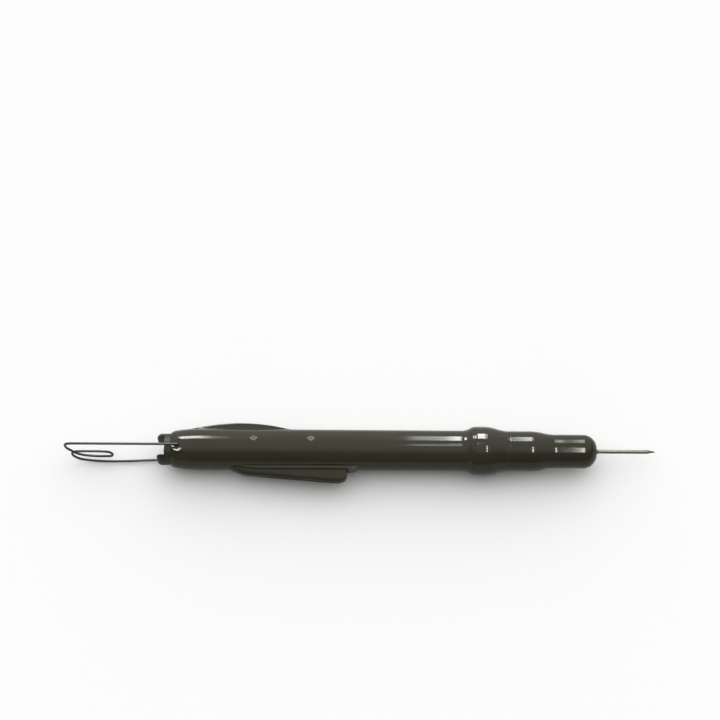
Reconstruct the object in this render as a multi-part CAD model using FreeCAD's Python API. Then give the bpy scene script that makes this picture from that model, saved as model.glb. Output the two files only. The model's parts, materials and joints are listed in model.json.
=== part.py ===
"""In-line electric screwdriver with a start lever, a torque ring and a hanging bail.

The tool lies on its side. +X runs along the drive axis towards the bit, +Z is up, the
start lever faces -Y and the switch hump faces +Y. The origin is the point on the drive
axis where the bit leaves the nose. All sizes are in millimetres, all angles in degrees.
"""

import FreeCAD, Part
import math
import os

from FreeCAD import Vector

# Clearances shared by all pieces
seat_gap = 0.03
running_gap = 0.05
slide_gap = 0.3
end_gap = 0.3
overrun = 4.0
tiny = 0.0001

# Bit
blade_radius = 1.3
blade_reach = 40.6
point_length = 5.0
point_radius = 0.4
flute_radius = 0.55
shank_radius = 2.0
shank_length = 25.5
shank_lead = 0.5
shank_flat_length = 5.0
lock_groove_depth = 0.3

# Chuck and spindle
spindle_radius = 4.5
spindle_tail_step = 1.5
sleeve_wall = 1.0
sleeve_length = 17.0
sleeve_tip_land = 0.3
sleeve_front_wall = 2.6
sleeve_recess_length = 7.6
sleeve_travel = 2.5
lock_ball_count = 2
clip_reach = 0.8
clip_room = 0.4
clip_width = 0.8
clip_groove_depth = 0.4
collar_width = 1.9
chuck_spring_room = 1.7
chuck_wire_radius = 0.4
chuck_spring_turns = 4

# Nose cover and torque ring
nose_radius = 11.8
nose_end_round = 9.5
nose_room = 1.2
nose_front_wall = 3.6
spigot_length = 19.1
taper_length = 18.2
mid_radius = 14.05
mid_length = 15.2
tube_seat_length = 9.0
guide_length = 2.4
guide_bore_share = 0.4375
ring_crown = 0.35
ring_width = 23.6
ring_lip = 1.2
ring_flare_length = 15.5
ring_round = 2.0

# Gearbox, nose tube and clutch
tube_wall = 1.2
bush_wall = 1.9
bush_length = 6.0
case_setback = 11.5
case_wall = 3.0
case_side_wall = 1.1
cam_length = 3.0
gear_width = 8.0
sun_teeth = 12
planet_teeth = 12
ring_teeth = 36
planet_count = 3
ring_rim = 0.55
pressure_angle = 20.0
addendum_share = 0.8
dedendum_share = 1.0
backlash_share = 0.12
planet_pin_radius = 1.2
pin_margin = 0.4
carrier_gap = 0.5
ring_gear_tail = 4.8
case_tail = 1.8
clutch_pin_radius = 0.9
clutch_pin_count = 6
clutch_lift = 0.8
washer_thickness = 1.5
clutch_coil_share = 0.375
clutch_wire_share = 0.21875
clutch_spring_turns = 6
nut_inset = 3.25
nut_length = 5.0
nut_setback = 6.7
lug_reach = 1.6
lug_width = 4.0

# Motor
motor_length = 50.5
bell_length = 8.0
can_wall = 1.0
can_front_wall = 1.5
magnet_thickness = 1.8
magnet_overhang = 3.0
magnet_span = 120.0
air_gap = 0.5
core_slot_count = 5
core_slot_width = 1.6
core_slot_depth = 3.6
winding_length = 3.5
winding_inset = 1.27
winding_bore = 2.6
winding_front_room = 3.25
winding_rear_room = 4.75
commutator_radius = 3.6
commutator_room = 1.4
brush_width = 3.0
shaft_radius = 1.5
motor_bush_radius = 3.0

# Housing shells
housing_length = 211.3
barrel_front_radius = 14.25
barrel_swell = 0.35
shell_wall = 2.0
flare_length = 7.3
flare_rise = 2.5
shell_spigot_length = 2.4
shell_spigot_wall = 1.15
clamp_wall = 0.9
shell_end_drop = 1.15
shell_end_chamfer = 2.4
shell_shoulder_drop = 1.55
rear_round_length = 19.5
rear_wall = 3.0
rib_width = 1.6
stop_rib_depth = 1.0
board_rib_reach = 4.0
screw_offset = 3.6
front_screw_share = 0.6144
rear_screw_gap = 2.2
screw_radius = 1.0
screw_head_radius = 1.8
screw_head_height = 1.4
screw_head_sink = 0.5
screw_length = 20.0
screw_boss_radius = 2.4

# Start lever, its slot and its bezel
slot_setback = 4.3
rear_bay_length = 41.6
lever_half_width = 4.0
lever_side_gap = 0.3
lever_front_gap = 0.8
lever_rear_gap = 0.6
lever_pivot_inset = 5.2
lever_pivot_depth = 1.65
lever_heel_wall = 2.4
lever_heel_drop = 2.2
lever_heel_length = 11.2
lever_heel_slant = 3.8
lever_heel_lift = 3.4
lever_floor_gap = 0.28
lever_blend_length = 18.2
lever_blend_rise = 4.9
lever_tip_rise = 9.4
lever_tip_round = 8.4
lever_tip_drop = 5.0
lever_edge_round = 1.4
lever_toe_reach = 1.5
lever_toe_depth = 1.8
lever_toe_length = 2.6
lever_pin_radius = 1.25
lever_pin_half_length = 7.4
ear_half_length = 3.4
ear_depth = 2.5
bezel_rise = 0.7
bezel_wall = 1.0
bezel_rear = 4.7
bezel_front = 9.0
bezel_rear_slope_length = 24.0
bezel_front_slope_length = 8.2
bezel_end_drop = 1.25
bezel_edge_round = 0.5

# Switch hump and direction knob
hump_half_length = 32.2
hump_rise = 3.7
hump_half_width = 5.6
hump_edge_round = 2.2
hump_sink = 0.2
knob_setback = 2.0
knob_length = 9.6
knob_width = 5.2
knob_height = 1.7
knob_stem_length = 4.0
knob_stem_width = 2.4
knob_throw = 2.5
knob_recess_depth = 1.6
knob_recess_margin = 0.5
knob_floor = 1.2
knob_groove_count = 3
knob_groove_radius = 0.4
hump_pocket_length = 22.0
hump_pocket_width = 7.2

# Circuit board, switches and leads
board_thickness = 1.6
board_level = 0.4
board_edge_room = 3.25
board_front_margin = 6.0
component_count = 3
component_share = 0.78
direction_switch_length = 16.0
direction_switch_width = 7.0
direction_switch_height = 7.4
start_switch_rear_margin = 5.0
start_switch_front_margin = 6.0
start_switch_width = 9.2
start_switch_height = 6.4
plunger_share = 0.5353
plunger_radius = 1.4
plunger_stem = 6.0
lever_spring_share = 0.292
lever_spring_radius = 2.0
lever_wire_radius = 0.3
lever_spring_turns = 4
lever_spring_seat = 3.1
lead_radius = 0.5
lead_bend_run = 3.0
lead_run = 8.0
motor_lead_radius = 0.7
motor_lead_offset = 5.0

# Rear cap and power socket
cap_length = 9.8
cap_inset = 0.9
cap_round = 3.6
cap_neck_step = 2.05
cap_flange_width = 2.0
channel_half_width = 6.8
channel_depth = 5.6
socket_radius = 6.0
socket_wall = 0.5
socket_proud = 0.8
socket_depth = 8.0
socket_step = 0.4
socket_insert_length = 4.5
contact_count = 5
contact_ring_radius = 3.2
contact_radius = 0.75
contact_bore = 0.4
contact_tail = 1.0

# Bail
bail_place = 5.6
bail_side_shift = -1.8
bail_wire_radius = 0.85
bail_length = 79.0
bail_end_depth = 3.6
bail_boss_radius = 4.2
bail_boss_rise = 0.75
bail_boss_sink = 0.35
bail_cross_gap = 0.7
# Each row: share of the length, share of the half width, share of the sideways lift, heading
bail_loop_shares = (
    (0.925, 1.0, 0.0, 180.0),
    (1.0, 0.6, 0.6, 270.0),
    (0.94, -0.3, 1.0, 300.0),
    (0.72, -0.8, 1.0, 0.0),
    (0.6, -0.39, 0.1, 90.0),
    (0.76, 0.17, -0.7, 180.0),
    (0.95, -0.1, -1.1, 270.0),
    (0.65, -1.0, -1.25, 0.0),
)

# Radii of the shells, worked out from the barrel
barrel_rear_radius = barrel_front_radius + barrel_swell
bore_radius = barrel_front_radius - shell_wall
flare_radius = barrel_front_radius + flare_rise
ring_radius = flare_radius + ring_crown
shell_spigot_radius = bore_radius + shell_spigot_wall
clamp_radius = shell_spigot_radius + clamp_wall
shell_shoulder_radius = barrel_rear_radius - shell_shoulder_drop
shell_end_radius = shell_shoulder_radius - shell_end_drop
rear_bore_radius = shell_shoulder_radius - shell_wall
cap_radius = shell_end_radius - cap_inset
cap_neck_radius = rear_bore_radius - cap_neck_step
bail_level = shell_shoulder_radius + bail_boss_rise
bail_half_width = bail_level + bail_boss_sink + bail_wire_radius
bail_bend = bail_half_width - bail_level - 2 * running_gap
bail_lift = bail_wire_radius + bail_cross_gap / 2
socket_outer_radius = socket_radius + socket_wall
insert_radius = socket_radius - socket_step

# Heights over the drive axis, worked out from the barrel
hump_crest = barrel_rear_radius + hump_rise
bezel_height = barrel_rear_radius + bezel_rise
bezel_end_height = barrel_front_radius - bezel_end_drop
slot_half_width = lever_half_width + lever_side_gap
bezel_half_width = slot_half_width + bezel_wall
lever_pivot_height = bore_radius - lever_pivot_depth
lever_heel_height = lever_pivot_height + lever_heel_wall
lever_heel_floor = lever_pivot_height - lever_heel_drop
lever_floor = math.sqrt(bore_radius ** 2 - lever_half_width ** 2) - lever_floor_gap
lever_blend_height = barrel_rear_radius + lever_blend_rise
lever_tip_height = barrel_rear_radius + lever_tip_rise
board_floor = board_level - board_thickness
board_half_width = bore_radius - board_edge_room

# Radii of the drive, worked out from the barrel and the spindle
case_radius = bore_radius - running_gap
case_bore = case_radius - case_side_wall
ring_gear_radius = case_bore - seat_gap
gear_module = (ring_gear_radius - ring_rim) / (ring_teeth / 2 + dedendum_share)
planet_orbit = gear_module * (sun_teeth + planet_teeth) / 2
carrier_radius = planet_orbit + planet_pin_radius + pin_margin
cam_bore = carrier_radius + slide_gap
clutch_pin_orbit = (cam_bore + ring_gear_radius) / 2
core_radius = case_radius - can_wall - seat_gap - magnet_thickness - air_gap
winding_radius = core_radius - winding_inset
spindle_tail_radius = spindle_radius - spindle_tail_step
tube_bore = spindle_radius + bush_wall
tube_radius = tube_bore + tube_wall
nut_radius = mid_radius - nut_inset
ring_bore = nut_radius + slide_gap
ring_groove_radius = nut_radius + lug_reach + slide_gap
guide_radius = ring_bore - slide_gap
guide_bore = tube_radius + guide_bore_share * (guide_radius - tube_radius)
clutch_coil_radius = tube_radius + clutch_coil_share * (nut_radius - tube_radius)
clutch_wire_radius = clutch_wire_share * (nut_radius - tube_radius)
clip_radius = spindle_radius + clip_reach
sleeve_tip_radius = shank_radius + slide_gap + sleeve_tip_land
sleeve_recess_radius = clip_radius + clip_room
sleeve_pocket_radius = spindle_radius + chuck_spring_room
sleeve_radius = sleeve_pocket_radius + sleeve_wall
chuck_coil_radius = (spindle_radius + sleeve_pocket_radius) / 2
collar_radius = sleeve_pocket_radius
nose_opening_radius = sleeve_radius + slide_gap
nose_round_level = nose_radius - nose_end_round
nose_bore_radius = sleeve_radius + nose_room
lock_ball_radius = (spindle_radius - shank_radius + lock_groove_depth) / 2 - 2 * running_gap
sleeve_land_length = 2 * (lock_ball_radius + 2 * running_gap)

# Stations along the drive axis, worked out from the nose to the rear
x_sleeve_land_front = -(sleeve_front_wall + sleeve_recess_length)
x_sleeve_land_rear = x_sleeve_land_front - sleeve_land_length
x_lock_ball = (x_sleeve_land_front + x_sleeve_land_rear) / 2
x_spindle_front = -(sleeve_front_wall + sleeve_travel + 2 * end_gap)
x_collar_front = -(sleeve_length + sleeve_travel + 3 * end_gap)
x_dome = -nose_end_round
x_nose_front = x_dome + math.sqrt(nose_end_round ** 2 - (nose_opening_radius - nose_round_level) ** 2)
x_spigot_rear = x_dome - spigot_length
x_taper_rear = x_spigot_rear - taper_length
x_nose_rear = x_taper_rear - mid_length
x_ring_front = x_nose_rear - end_gap
x_ring_rear = x_ring_front - ring_width
x_shell_front = x_ring_rear - end_gap
x_shell_rear = x_shell_front - housing_length
x_cap_rear = x_shell_rear - cap_length
x_spigot_front = x_shell_front + shell_spigot_length
x_nut_front = x_ring_front - nut_setback
x_nut_rear = x_nut_front - nut_length
x_tube_front = x_taper_rear
x_wall_front = x_shell_front - case_setback
x_wall_rear = x_wall_front - case_wall
clutch_pin_proud = clutch_lift + end_gap
x_washer_rear = x_wall_front + clutch_pin_proud
x_washer_front = x_washer_rear + washer_thickness
x_cam_front = x_wall_rear - end_gap
x_teeth_front = x_cam_front - cam_length
x_planet_front = x_teeth_front - end_gap
x_planet_rear = x_planet_front - gear_width
x_ring_gear_rear = x_planet_rear - ring_gear_tail
x_case_rear = x_ring_gear_rear - case_tail
x_motor_rear = x_case_rear - motor_length
x_bell_front = x_motor_rear + bell_length
x_core_rear = x_bell_front + winding_rear_room + winding_length
x_core_front = x_case_rear - can_front_wall - winding_front_room - winding_length
commutator_length = bell_length - rib_width - commutator_room
x_slot_front = x_motor_rear - slot_setback
x_slot_rear = x_shell_rear + rear_bay_length
slot_length = x_slot_front - x_slot_rear
x_lever_front = x_slot_front - lever_front_gap
x_lever_rear = x_slot_rear + lever_rear_gap
x_pivot = x_lever_rear + lever_pivot_inset
x_lever_spring = x_pivot + lever_spring_share * slot_length
x_plunger = x_pivot + plunger_share * slot_length
x_start_switch_rear = x_lever_spring - start_switch_rear_margin
x_start_switch_front = x_plunger + start_switch_front_margin
x_knob = x_pivot - knob_setback
x_front_screw = x_pivot + front_screw_share * slot_length
x_rear_screw = x_knob + direction_switch_length / 2 + rear_screw_gap + screw_boss_radius
screw_places = (x_front_screw, x_rear_screw)
x_bail = x_shell_rear + bail_place
x_socket_mouth = x_cap_rear + channel_depth - socket_proud
x_insert_rear = x_socket_mouth + socket_depth
x_insert_front = x_insert_rear + socket_insert_length
x_board_rear = x_insert_front + contact_tail + lead_bend_run
x_board_front = x_start_switch_front + board_front_margin


# Drawing helpers
def heading_at(angle):
    """Unit vector in the XY plane at an angle from +X."""
    return Vector(math.cos(math.radians(angle)), math.sin(math.radians(angle)), 0)


def arc_leaving(start, heading, end):
    """Arc that leaves start along heading and reaches end, or a line where it is straight."""
    chord = end - start
    along = chord * (heading.dot(chord) / chord.dot(chord))
    side = heading - along
    if side.Length < tiny:
        return Part.makeLine(start, end)
    half_turn = math.acos(max(-1.0, min(1.0, heading.dot(chord) / chord.Length)))
    bulge = chord.Length * math.tan(half_turn / 2) / 2
    middle = (start + end) * 0.5 + side.normalize() * bulge
    return Part.Arc(start, middle, end).toShape()


def biarc(start, leaving, end, arriving):
    """Two arcs that leave start and reach end along the given headings."""
    span = end - start
    if span.cross(leaving).Length < tiny and span.cross(arriving).Length < tiny:
        return [Part.makeLine(start, end)]
    total = leaving + arriving
    bend = 2 * (1 - leaving.dot(arriving))
    lean = span.dot(total)
    if bend < tiny:
        reach = span.dot(span) / (4 * span.dot(arriving))
    else:
        reach = (math.sqrt(lean ** 2 + bend * span.dot(span)) - lean) / bend
    joint = (start + leaving * reach + end - arriving * reach) * 0.5
    first = arc_leaving(start, leaving, joint)
    second = arc_leaving(end, arriving * -1, joint)
    return [first, second]


class Outline:
    """Closed outline in the XY plane, drawn edge by edge."""

    def __init__(self, x, y):
        self.first = Vector(x, y, 0)
        self.point = self.first
        self.heading = heading_at(0)
        self.edges = []

    def line_to(self, x, y):
        end = Vector(x, y, 0)
        self.edges.append(Part.makeLine(self.point, end))
        self.heading = (end - self.point).normalize()
        self.point = end

    def curve_to(self, x, y):
        end = Vector(x, y, 0)
        chord = (end - self.point).normalize()
        self.edges.append(arc_leaving(self.point, self.heading, end))
        self.heading = chord * (2 * chord.dot(self.heading)) - self.heading
        self.point = end

    def bend_to(self, x, y, angle):
        end = Vector(x, y, 0)
        self.edges.extend(biarc(self.point, self.heading, end, heading_at(angle)))
        self.heading = heading_at(angle)
        self.point = end

    def ease_to(self, x, y, angle):
        end = Vector(x, y, 0)
        self.edges.append(arc_leaving(end, heading_at(angle + 180), self.point))
        self.heading = heading_at(angle)
        self.point = end

    def arc_to(self, middle, end):
        self.edges.append(Part.Arc(self.point, middle, end).toShape())
        self.point = end

    def face(self):
        if (self.point - self.first).Length > tiny:
            self.line_to(self.first.x, self.first.y)
        return Part.Face(Part.Wire(self.edges))


def lathe(outline):
    """Solid turned about the drive axis."""
    return outline.face().revolve(Vector(0, 0, 0), Vector(1, 0, 0), 360)


def slab(outline, half_width):
    """Outline made solid across Z, half to each side."""
    face = outline.face().translated(Vector(0, 0, -half_width))
    return face.extrude(Vector(0, 0, 2 * half_width))


def rod_x(x_from, x_to, radius, y=0, z=0):
    return Part.makeCylinder(radius, x_to - x_from, Vector(x_from, y, z), Vector(1, 0, 0))


def rod_y(y_from, y_to, radius, x, z=0):
    return Part.makeCylinder(radius, y_to - y_from, Vector(x, y_from, z), Vector(0, 1, 0))


def rod_z(z_from, z_to, radius, x, y):
    return Part.makeCylinder(radius, z_to - z_from, Vector(x, y, z_from), Vector(0, 0, 1))


def tube_x(x_from, x_to, outer, inner):
    return rod_x(x_from, x_to, outer).cut(rod_x(x_from, x_to, inner))


def block(x_from, x_to, y_from, y_to, z_from, z_to):
    corner = Vector(x_from, y_from, z_from)
    return Part.makeBox(x_to - x_from, y_to - y_from, z_to - z_from, corner)


def turned(shape, angle):
    """Copy of a shape turned about the drive axis."""
    copy = shape.copy()
    copy.rotate(Vector(0, 0, 0), Vector(1, 0, 0), angle)
    return copy


def around(shape, count):
    """Copies of a shape spaced evenly about the drive axis."""
    return [turned(shape, 360 * index / count) for index in range(count)]


def rounded(solid, radius, wanted):
    """Solid with a radius on each edge that the test picks."""
    return solid.makeFillet(radius, [edge for edge in solid.Edges if wanted(edge)])


def wire_form(stations, radius):
    """Round wire through stations of a point and a heading each."""
    edges = []
    for (start, leaving), (end, arriving) in zip(stations, stations[1:]):
        edges.extend(biarc(start, leaving, end, arriving))
    path = Part.Wire(edges)
    start, leaving = stations[0]
    section = Part.Wire(Part.makeCircle(radius, start, leaving))
    return path, path.makePipeShell([section], True, False)


def least_gap(path, radius, apart):
    """Least clear gap between points of a bent wire that lie at least apart along it."""
    points = path.discretize(Distance=radius)
    skip = int(apart / radius)
    gaps = []
    for index, point in enumerate(points):
        for other in points[index + skip:]:
            gaps.append((other - point).Length)
    return min(gaps) - 2 * radius


def coil(start, axis, across, radius, wire_radius, length, turns):
    """Round wire coil along an axis, in quarter turns."""
    beside = axis.cross(across)
    pitch = (length - 2 * wire_radius) / turns
    rise = pitch / (2 * math.pi)
    stations = []
    for quarter in range(4 * turns + 1):
        angle = math.pi / 2 * quarter
        out = across * math.cos(angle) + beside * math.sin(angle)
        run = beside * math.cos(angle) - across * math.sin(angle)
        point = start + axis * (wire_radius + rise * angle) + out * radius
        stations.append((point, (run * radius + axis * rise).normalize()))
    path, solid = wire_form(stations, wire_radius)
    return solid


def gear_face(teeth, tip_radius, root_radius, thickness):
    """Involute gear outline across the drive axis, one tooth centred on +Y."""
    pitch_radius = gear_module * teeth / 2
    slope = math.radians(pressure_angle)
    base_radius = pitch_radius * math.cos(slope)
    flank_root = max(root_radius, base_radius)
    half_tooth = thickness / (2 * pitch_radius) + math.tan(slope) - slope

    def flank(radius, side, turn):
        lean = math.acos(base_radius / radius)
        angle = turn + side * (half_tooth - math.tan(lean) + lean)
        return Vector(0, radius * math.cos(angle), radius * math.sin(angle))

    def at(radius, angle):
        return Vector(0, radius * math.cos(angle), radius * math.sin(angle))

    def foot_of(side, turn):
        start = flank(flank_root, side, turn)
        return start * (root_radius / flank_root)

    edges = []
    step = 2 * math.pi / teeth
    flank_middle = (flank_root + tip_radius) / 2
    for index in range(teeth):
        turn = step * index
        for side in (-1, 1):
            low = flank(flank_root, side, turn)
            middle = flank(flank_middle, side, turn)
            high = flank(tip_radius, side, turn)
            edges.append(Part.Arc(low, middle, high).toShape())
            if flank_root > root_radius + tiny:
                edges.append(Part.makeLine(foot_of(side, turn), low))
        tip_start = flank(tip_radius, -1, turn)
        tip_end = flank(tip_radius, 1, turn)
        edges.append(Part.Arc(tip_start, at(tip_radius, turn), tip_end).toShape())
        gap_start = foot_of(1, turn)
        gap_end = foot_of(-1, turn + step)
        gap_middle = at(root_radius, turn + step / 2)
        edges.append(Part.Arc(gap_start, gap_middle, gap_end).toShape())
    return Part.Face(Part.Wire(Part.__sortEdges__(edges)))


def outer_gear(teeth, x_from, x_to):
    """Gear with outward teeth and no bore."""
    pitch_radius = gear_module * teeth / 2
    thickness = gear_module * (math.pi / 2 - backlash_share)
    tip_radius = pitch_radius + addendum_share * gear_module
    root_radius = pitch_radius - dedendum_share * gear_module
    face = gear_face(teeth, tip_radius, root_radius, thickness)
    return face.translated(Vector(x_from, 0, 0)).extrude(Vector(x_to - x_from, 0, 0))


# Bit
def make_bit():
    outline = Outline(-shank_length, 0)
    outline.line_to(-shank_length, shank_radius)
    groove_rear = x_lock_ball - lock_ball_radius - running_gap
    groove_front = x_lock_ball + lock_ball_radius + running_gap
    groove_radius = shank_radius - lock_groove_depth
    outline.line_to(groove_rear, shank_radius)
    outline.line_to(groove_rear, groove_radius)
    outline.line_to(groove_front, groove_radius)
    outline.line_to(groove_front, shank_radius)
    outline.line_to(shank_lead, shank_radius)
    outline.line_to(shank_lead + shank_radius - blade_radius, blade_radius)
    outline.line_to(blade_reach - point_length, blade_radius)
    outline.line_to(blade_reach, point_radius)
    outline.line_to(blade_reach, 0)
    bit = lathe(outline)
    flat_end = -shank_length + shank_flat_length
    bit = bit.cut(block(-shank_length, flat_end, 0, shank_radius, -shank_radius, shank_radius))
    x_flute = blade_reach - point_length
    flute = rod_x(x_flute, blade_reach, flute_radius, blade_radius)
    flute.rotate(Vector(x_flute, blade_radius, 0), Vector(0, 0, 1), -point_flute_angle())
    flute.rotate(Vector(0, 0, 0), Vector(1, 0, 0), 45)
    return bit.cut(around(flute, 4))


def point_flute_angle():
    """Lean of the four flutes in the point."""
    return math.degrees(math.atan2(blade_radius - point_radius - flute_radius, point_length))


def nose_end_lean(radius):
    """Lean of the rounded nose end where it has this radius, from the drive direction."""
    return math.asin((radius - nose_round_level) / nose_end_round)


def nose_end_point(lean):
    """Point of the rounded nose end with this lean."""
    along = nose_end_round * math.cos(lean)
    across = nose_end_round * math.sin(lean)
    return Vector(x_dome + along, nose_round_level + across, 0)


# Chuck
def make_chuck_sleeve():
    outline = Outline(-sleeve_length, sleeve_pocket_radius)
    outline.line_to(-sleeve_length, sleeve_radius)
    lean_from = nose_end_lean(sleeve_radius)
    lean_to = nose_end_lean(sleeve_tip_radius)
    outline.line_to(nose_end_point(lean_from).x, sleeve_radius)
    tip = nose_end_point(lean_to)
    outline.arc_to(nose_end_point((lean_from + lean_to) / 2), tip)
    outline.line_to(tip.x, shank_radius + slide_gap)
    outline.line_to(-sleeve_front_wall, shank_radius + slide_gap)
    outline.line_to(-sleeve_front_wall, sleeve_recess_radius)
    outline.line_to(x_sleeve_land_front, sleeve_recess_radius)
    outline.line_to(x_sleeve_land_front, spindle_radius + running_gap)
    outline.line_to(x_sleeve_land_rear, spindle_radius + running_gap)
    outline.line_to(x_sleeve_land_rear, sleeve_pocket_radius)
    return lathe(outline)


def make_chuck_spring():
    start = Vector(x_collar_front, 0, 0)
    length = x_sleeve_land_rear - x_collar_front
    axis = Vector(1, 0, 0)
    across = Vector(0, 1, 0)
    turns = chuck_spring_turns
    return coil(start, axis, across, chuck_coil_radius, chuck_wire_radius, length, turns)


def lock_ball_place():
    """Distance of the lock balls from the drive axis, just clear of the shank groove."""
    return shank_radius - lock_groove_depth + running_gap + lock_ball_radius


def make_chuck_balls():
    ball = Part.makeSphere(lock_ball_radius, Vector(x_lock_ball, lock_ball_place(), 0))
    return Part.makeCompound(around(ball, lock_ball_count))


def make_chuck_clip():
    x_front = x_sleeve_land_front + end_gap + clip_width
    groove_radius = spindle_radius - clip_groove_depth + seat_gap
    clip = tube_x(x_front - clip_width, x_front, clip_radius, groove_radius)
    mouth = block(x_front - clip_width, x_front, 0, clip_radius, -clip_width, clip_width)
    return clip.cut(mouth)


# Spindle
def make_spindle():
    outline = Outline(x_teeth_front + carrier_gap, 0)
    outline.line_to(x_teeth_front + carrier_gap, spindle_tail_radius)
    outline.line_to(x_cam_front, spindle_tail_radius)
    outline.line_to(x_cam_front, spindle_radius)
    outline.line_to(x_collar_front - collar_width, spindle_radius)
    outline.line_to(x_collar_front - collar_width, collar_radius)
    outline.line_to(x_collar_front, collar_radius)
    outline.line_to(x_collar_front, spindle_radius)
    x_clip_rear = x_sleeve_land_front + end_gap - seat_gap
    x_clip_front = x_clip_rear + clip_width + 2 * seat_gap
    outline.line_to(x_clip_rear, spindle_radius)
    outline.line_to(x_clip_rear, spindle_radius - clip_groove_depth)
    outline.line_to(x_clip_front, spindle_radius - clip_groove_depth)
    outline.line_to(x_clip_front, spindle_radius)
    outline.line_to(x_spindle_front, spindle_radius)
    outline.line_to(x_spindle_front, shank_radius + running_gap)
    outline.line_to(-shank_length - end_gap, shank_radius + running_gap)
    outline.line_to(-shank_length - end_gap, 0)
    hole = rod_y(0, spindle_radius + overrun, lock_ball_radius + running_gap, x_lock_ball)
    return lathe(outline).cut(around(hole, lock_ball_count))


def make_front_bush():
    x_from = x_tube_front - bush_length
    return tube_x(x_from, x_tube_front, tube_bore - seat_gap, spindle_radius + running_gap)


def make_rear_bush():
    x_to = x_wall_rear + bush_length
    return tube_x(x_wall_rear, x_to, tube_bore - seat_gap, spindle_radius + running_gap)


# Nose cover
def make_nose_cover():
    x_seat_rear = x_tube_front - tube_seat_length
    outline = Outline(x_nose_front, nose_opening_radius)
    upright = math.pi / 2
    middle = nose_end_point((nose_end_lean(nose_opening_radius) + upright) / 2)
    outline.arc_to(middle, nose_end_point(upright))
    outline.line_to(x_spigot_rear, nose_radius)
    outline.bend_to(x_taper_rear, mid_radius, 180)
    outline.line_to(x_nose_rear, mid_radius)
    outline.line_to(x_nose_rear, guide_radius)
    outline.line_to(x_nose_rear - guide_length, guide_radius)
    outline.line_to(x_nose_rear - guide_length, guide_bore)
    outline.line_to(x_seat_rear, guide_bore)
    outline.line_to(x_seat_rear, tube_radius + seat_gap)
    outline.line_to(x_tube_front, tube_radius + seat_gap)
    outline.line_to(x_tube_front, nose_bore_radius)
    x_bore_front = x_nose_front - nose_front_wall
    outline.line_to(x_bore_front, nose_bore_radius)
    outline.line_to(x_bore_front, nose_opening_radius)
    return lathe(outline)


# Torque ring, spring nut and clutch
def make_torque_ring():
    x_pocket = x_spigot_front + end_gap
    x_flare = x_ring_front - ring_lip - ring_flare_length
    outline = Outline(x_ring_front, ring_bore)
    outline.line_to(x_ring_front, mid_radius)
    outline.line_to(x_ring_front - ring_lip, mid_radius)
    outline.bend_to(x_flare, ring_radius, 180)
    outline.line_to(x_ring_rear + ring_round, ring_radius)
    outline.curve_to(x_ring_rear, flare_radius)
    outline.line_to(x_ring_rear, clamp_radius + slide_gap)
    outline.line_to(x_pocket, clamp_radius + slide_gap)
    outline.line_to(x_pocket, ring_bore)
    ring = lathe(outline)
    half = lug_width / 2 + slide_gap
    x_groove_front = x_nose_rear - guide_length - end_gap
    reach = ring_groove_radius
    groove = block(x_pocket, x_groove_front, 0, reach, -half, half)
    return ring.cut(around(groove, 2))


def make_spring_nut():
    nut = rod_x(x_nut_rear, x_nut_front, nut_radius)
    half = lug_width / 2
    lug = block(x_nut_rear, x_nut_front, 0, nut_radius + lug_reach, -half, half)
    nut = nut.fuse(around(lug, 2))
    return nut.cut(rod_x(x_nut_rear, x_nut_front, tube_radius + running_gap)).removeSplitter()


def make_clutch_spring():
    start = Vector(x_washer_front, 0, 0)
    length = x_nut_rear - x_washer_front
    axis = Vector(1, 0, 0)
    across = Vector(0, 0, 1)
    turns = clutch_spring_turns
    return coil(start, axis, across, clutch_coil_radius, clutch_wire_radius, length, turns)


def make_thrust_washer():
    outer = ring_gear_radius
    return tube_x(x_washer_rear, x_washer_front, outer, tube_radius + slide_gap)


def make_clutch_pins():
    pin = rod_x(x_cam_front, x_washer_rear, clutch_pin_radius, clutch_pin_orbit)
    return Part.makeCompound(around(pin, clutch_pin_count))


# Gearbox
def make_gearbox_case():
    outline = Outline(x_case_rear, case_bore)
    outline.line_to(x_case_rear, case_radius)
    outline.line_to(x_wall_front, case_radius)
    outline.line_to(x_wall_front, tube_radius)
    outline.line_to(x_tube_front, tube_radius)
    outline.line_to(x_tube_front, tube_bore)
    outline.line_to(x_wall_rear, tube_bore)
    outline.line_to(x_wall_rear, case_bore)
    hole_radius = clutch_pin_radius + running_gap
    hole = rod_x(x_wall_rear, x_wall_front, hole_radius, clutch_pin_orbit)
    return lathe(outline).cut(around(hole, clutch_pin_count))


def make_ring_gear():
    pitch_radius = gear_module * ring_teeth / 2
    thickness = gear_module * (math.pi / 2 + backlash_share)
    root_radius = pitch_radius + dedendum_share * gear_module
    tip_radius = pitch_radius - addendum_share * gear_module
    gear = rod_x(x_ring_gear_rear, x_cam_front, ring_gear_radius)
    gear = gear.cut(rod_x(x_teeth_front, x_cam_front, cam_bore))
    face = gear_face(ring_teeth, root_radius, tip_radius, thickness)
    face = turned(face, 180 / ring_teeth)
    cutter = face.translated(Vector(x_ring_gear_rear, 0, 0))
    cutter = cutter.extrude(Vector(x_teeth_front - x_ring_gear_rear, 0, 0))
    return gear.cut(cutter)


def make_sun_gear():
    x_from = x_planet_rear - carrier_gap
    gear = outer_gear(sun_teeth, x_from, x_planet_front)
    return gear.cut(rod_x(x_from, x_planet_front, shaft_radius + seat_gap))


def make_planet_gear(index):
    gear = outer_gear(planet_teeth, x_planet_rear, x_planet_front)
    bore = rod_x(x_planet_rear, x_planet_front, planet_pin_radius + running_gap)
    gear = turned(gear.cut(bore), 180 / planet_teeth)
    gear.translate(Vector(0, planet_orbit, 0))
    return turned(gear, 360 * index / planet_count)


def make_planet_pins():
    pin = rod_x(x_planet_rear - end_gap, x_cam_front, planet_pin_radius, planet_orbit)
    return Part.makeCompound(around(pin, planet_count))


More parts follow.
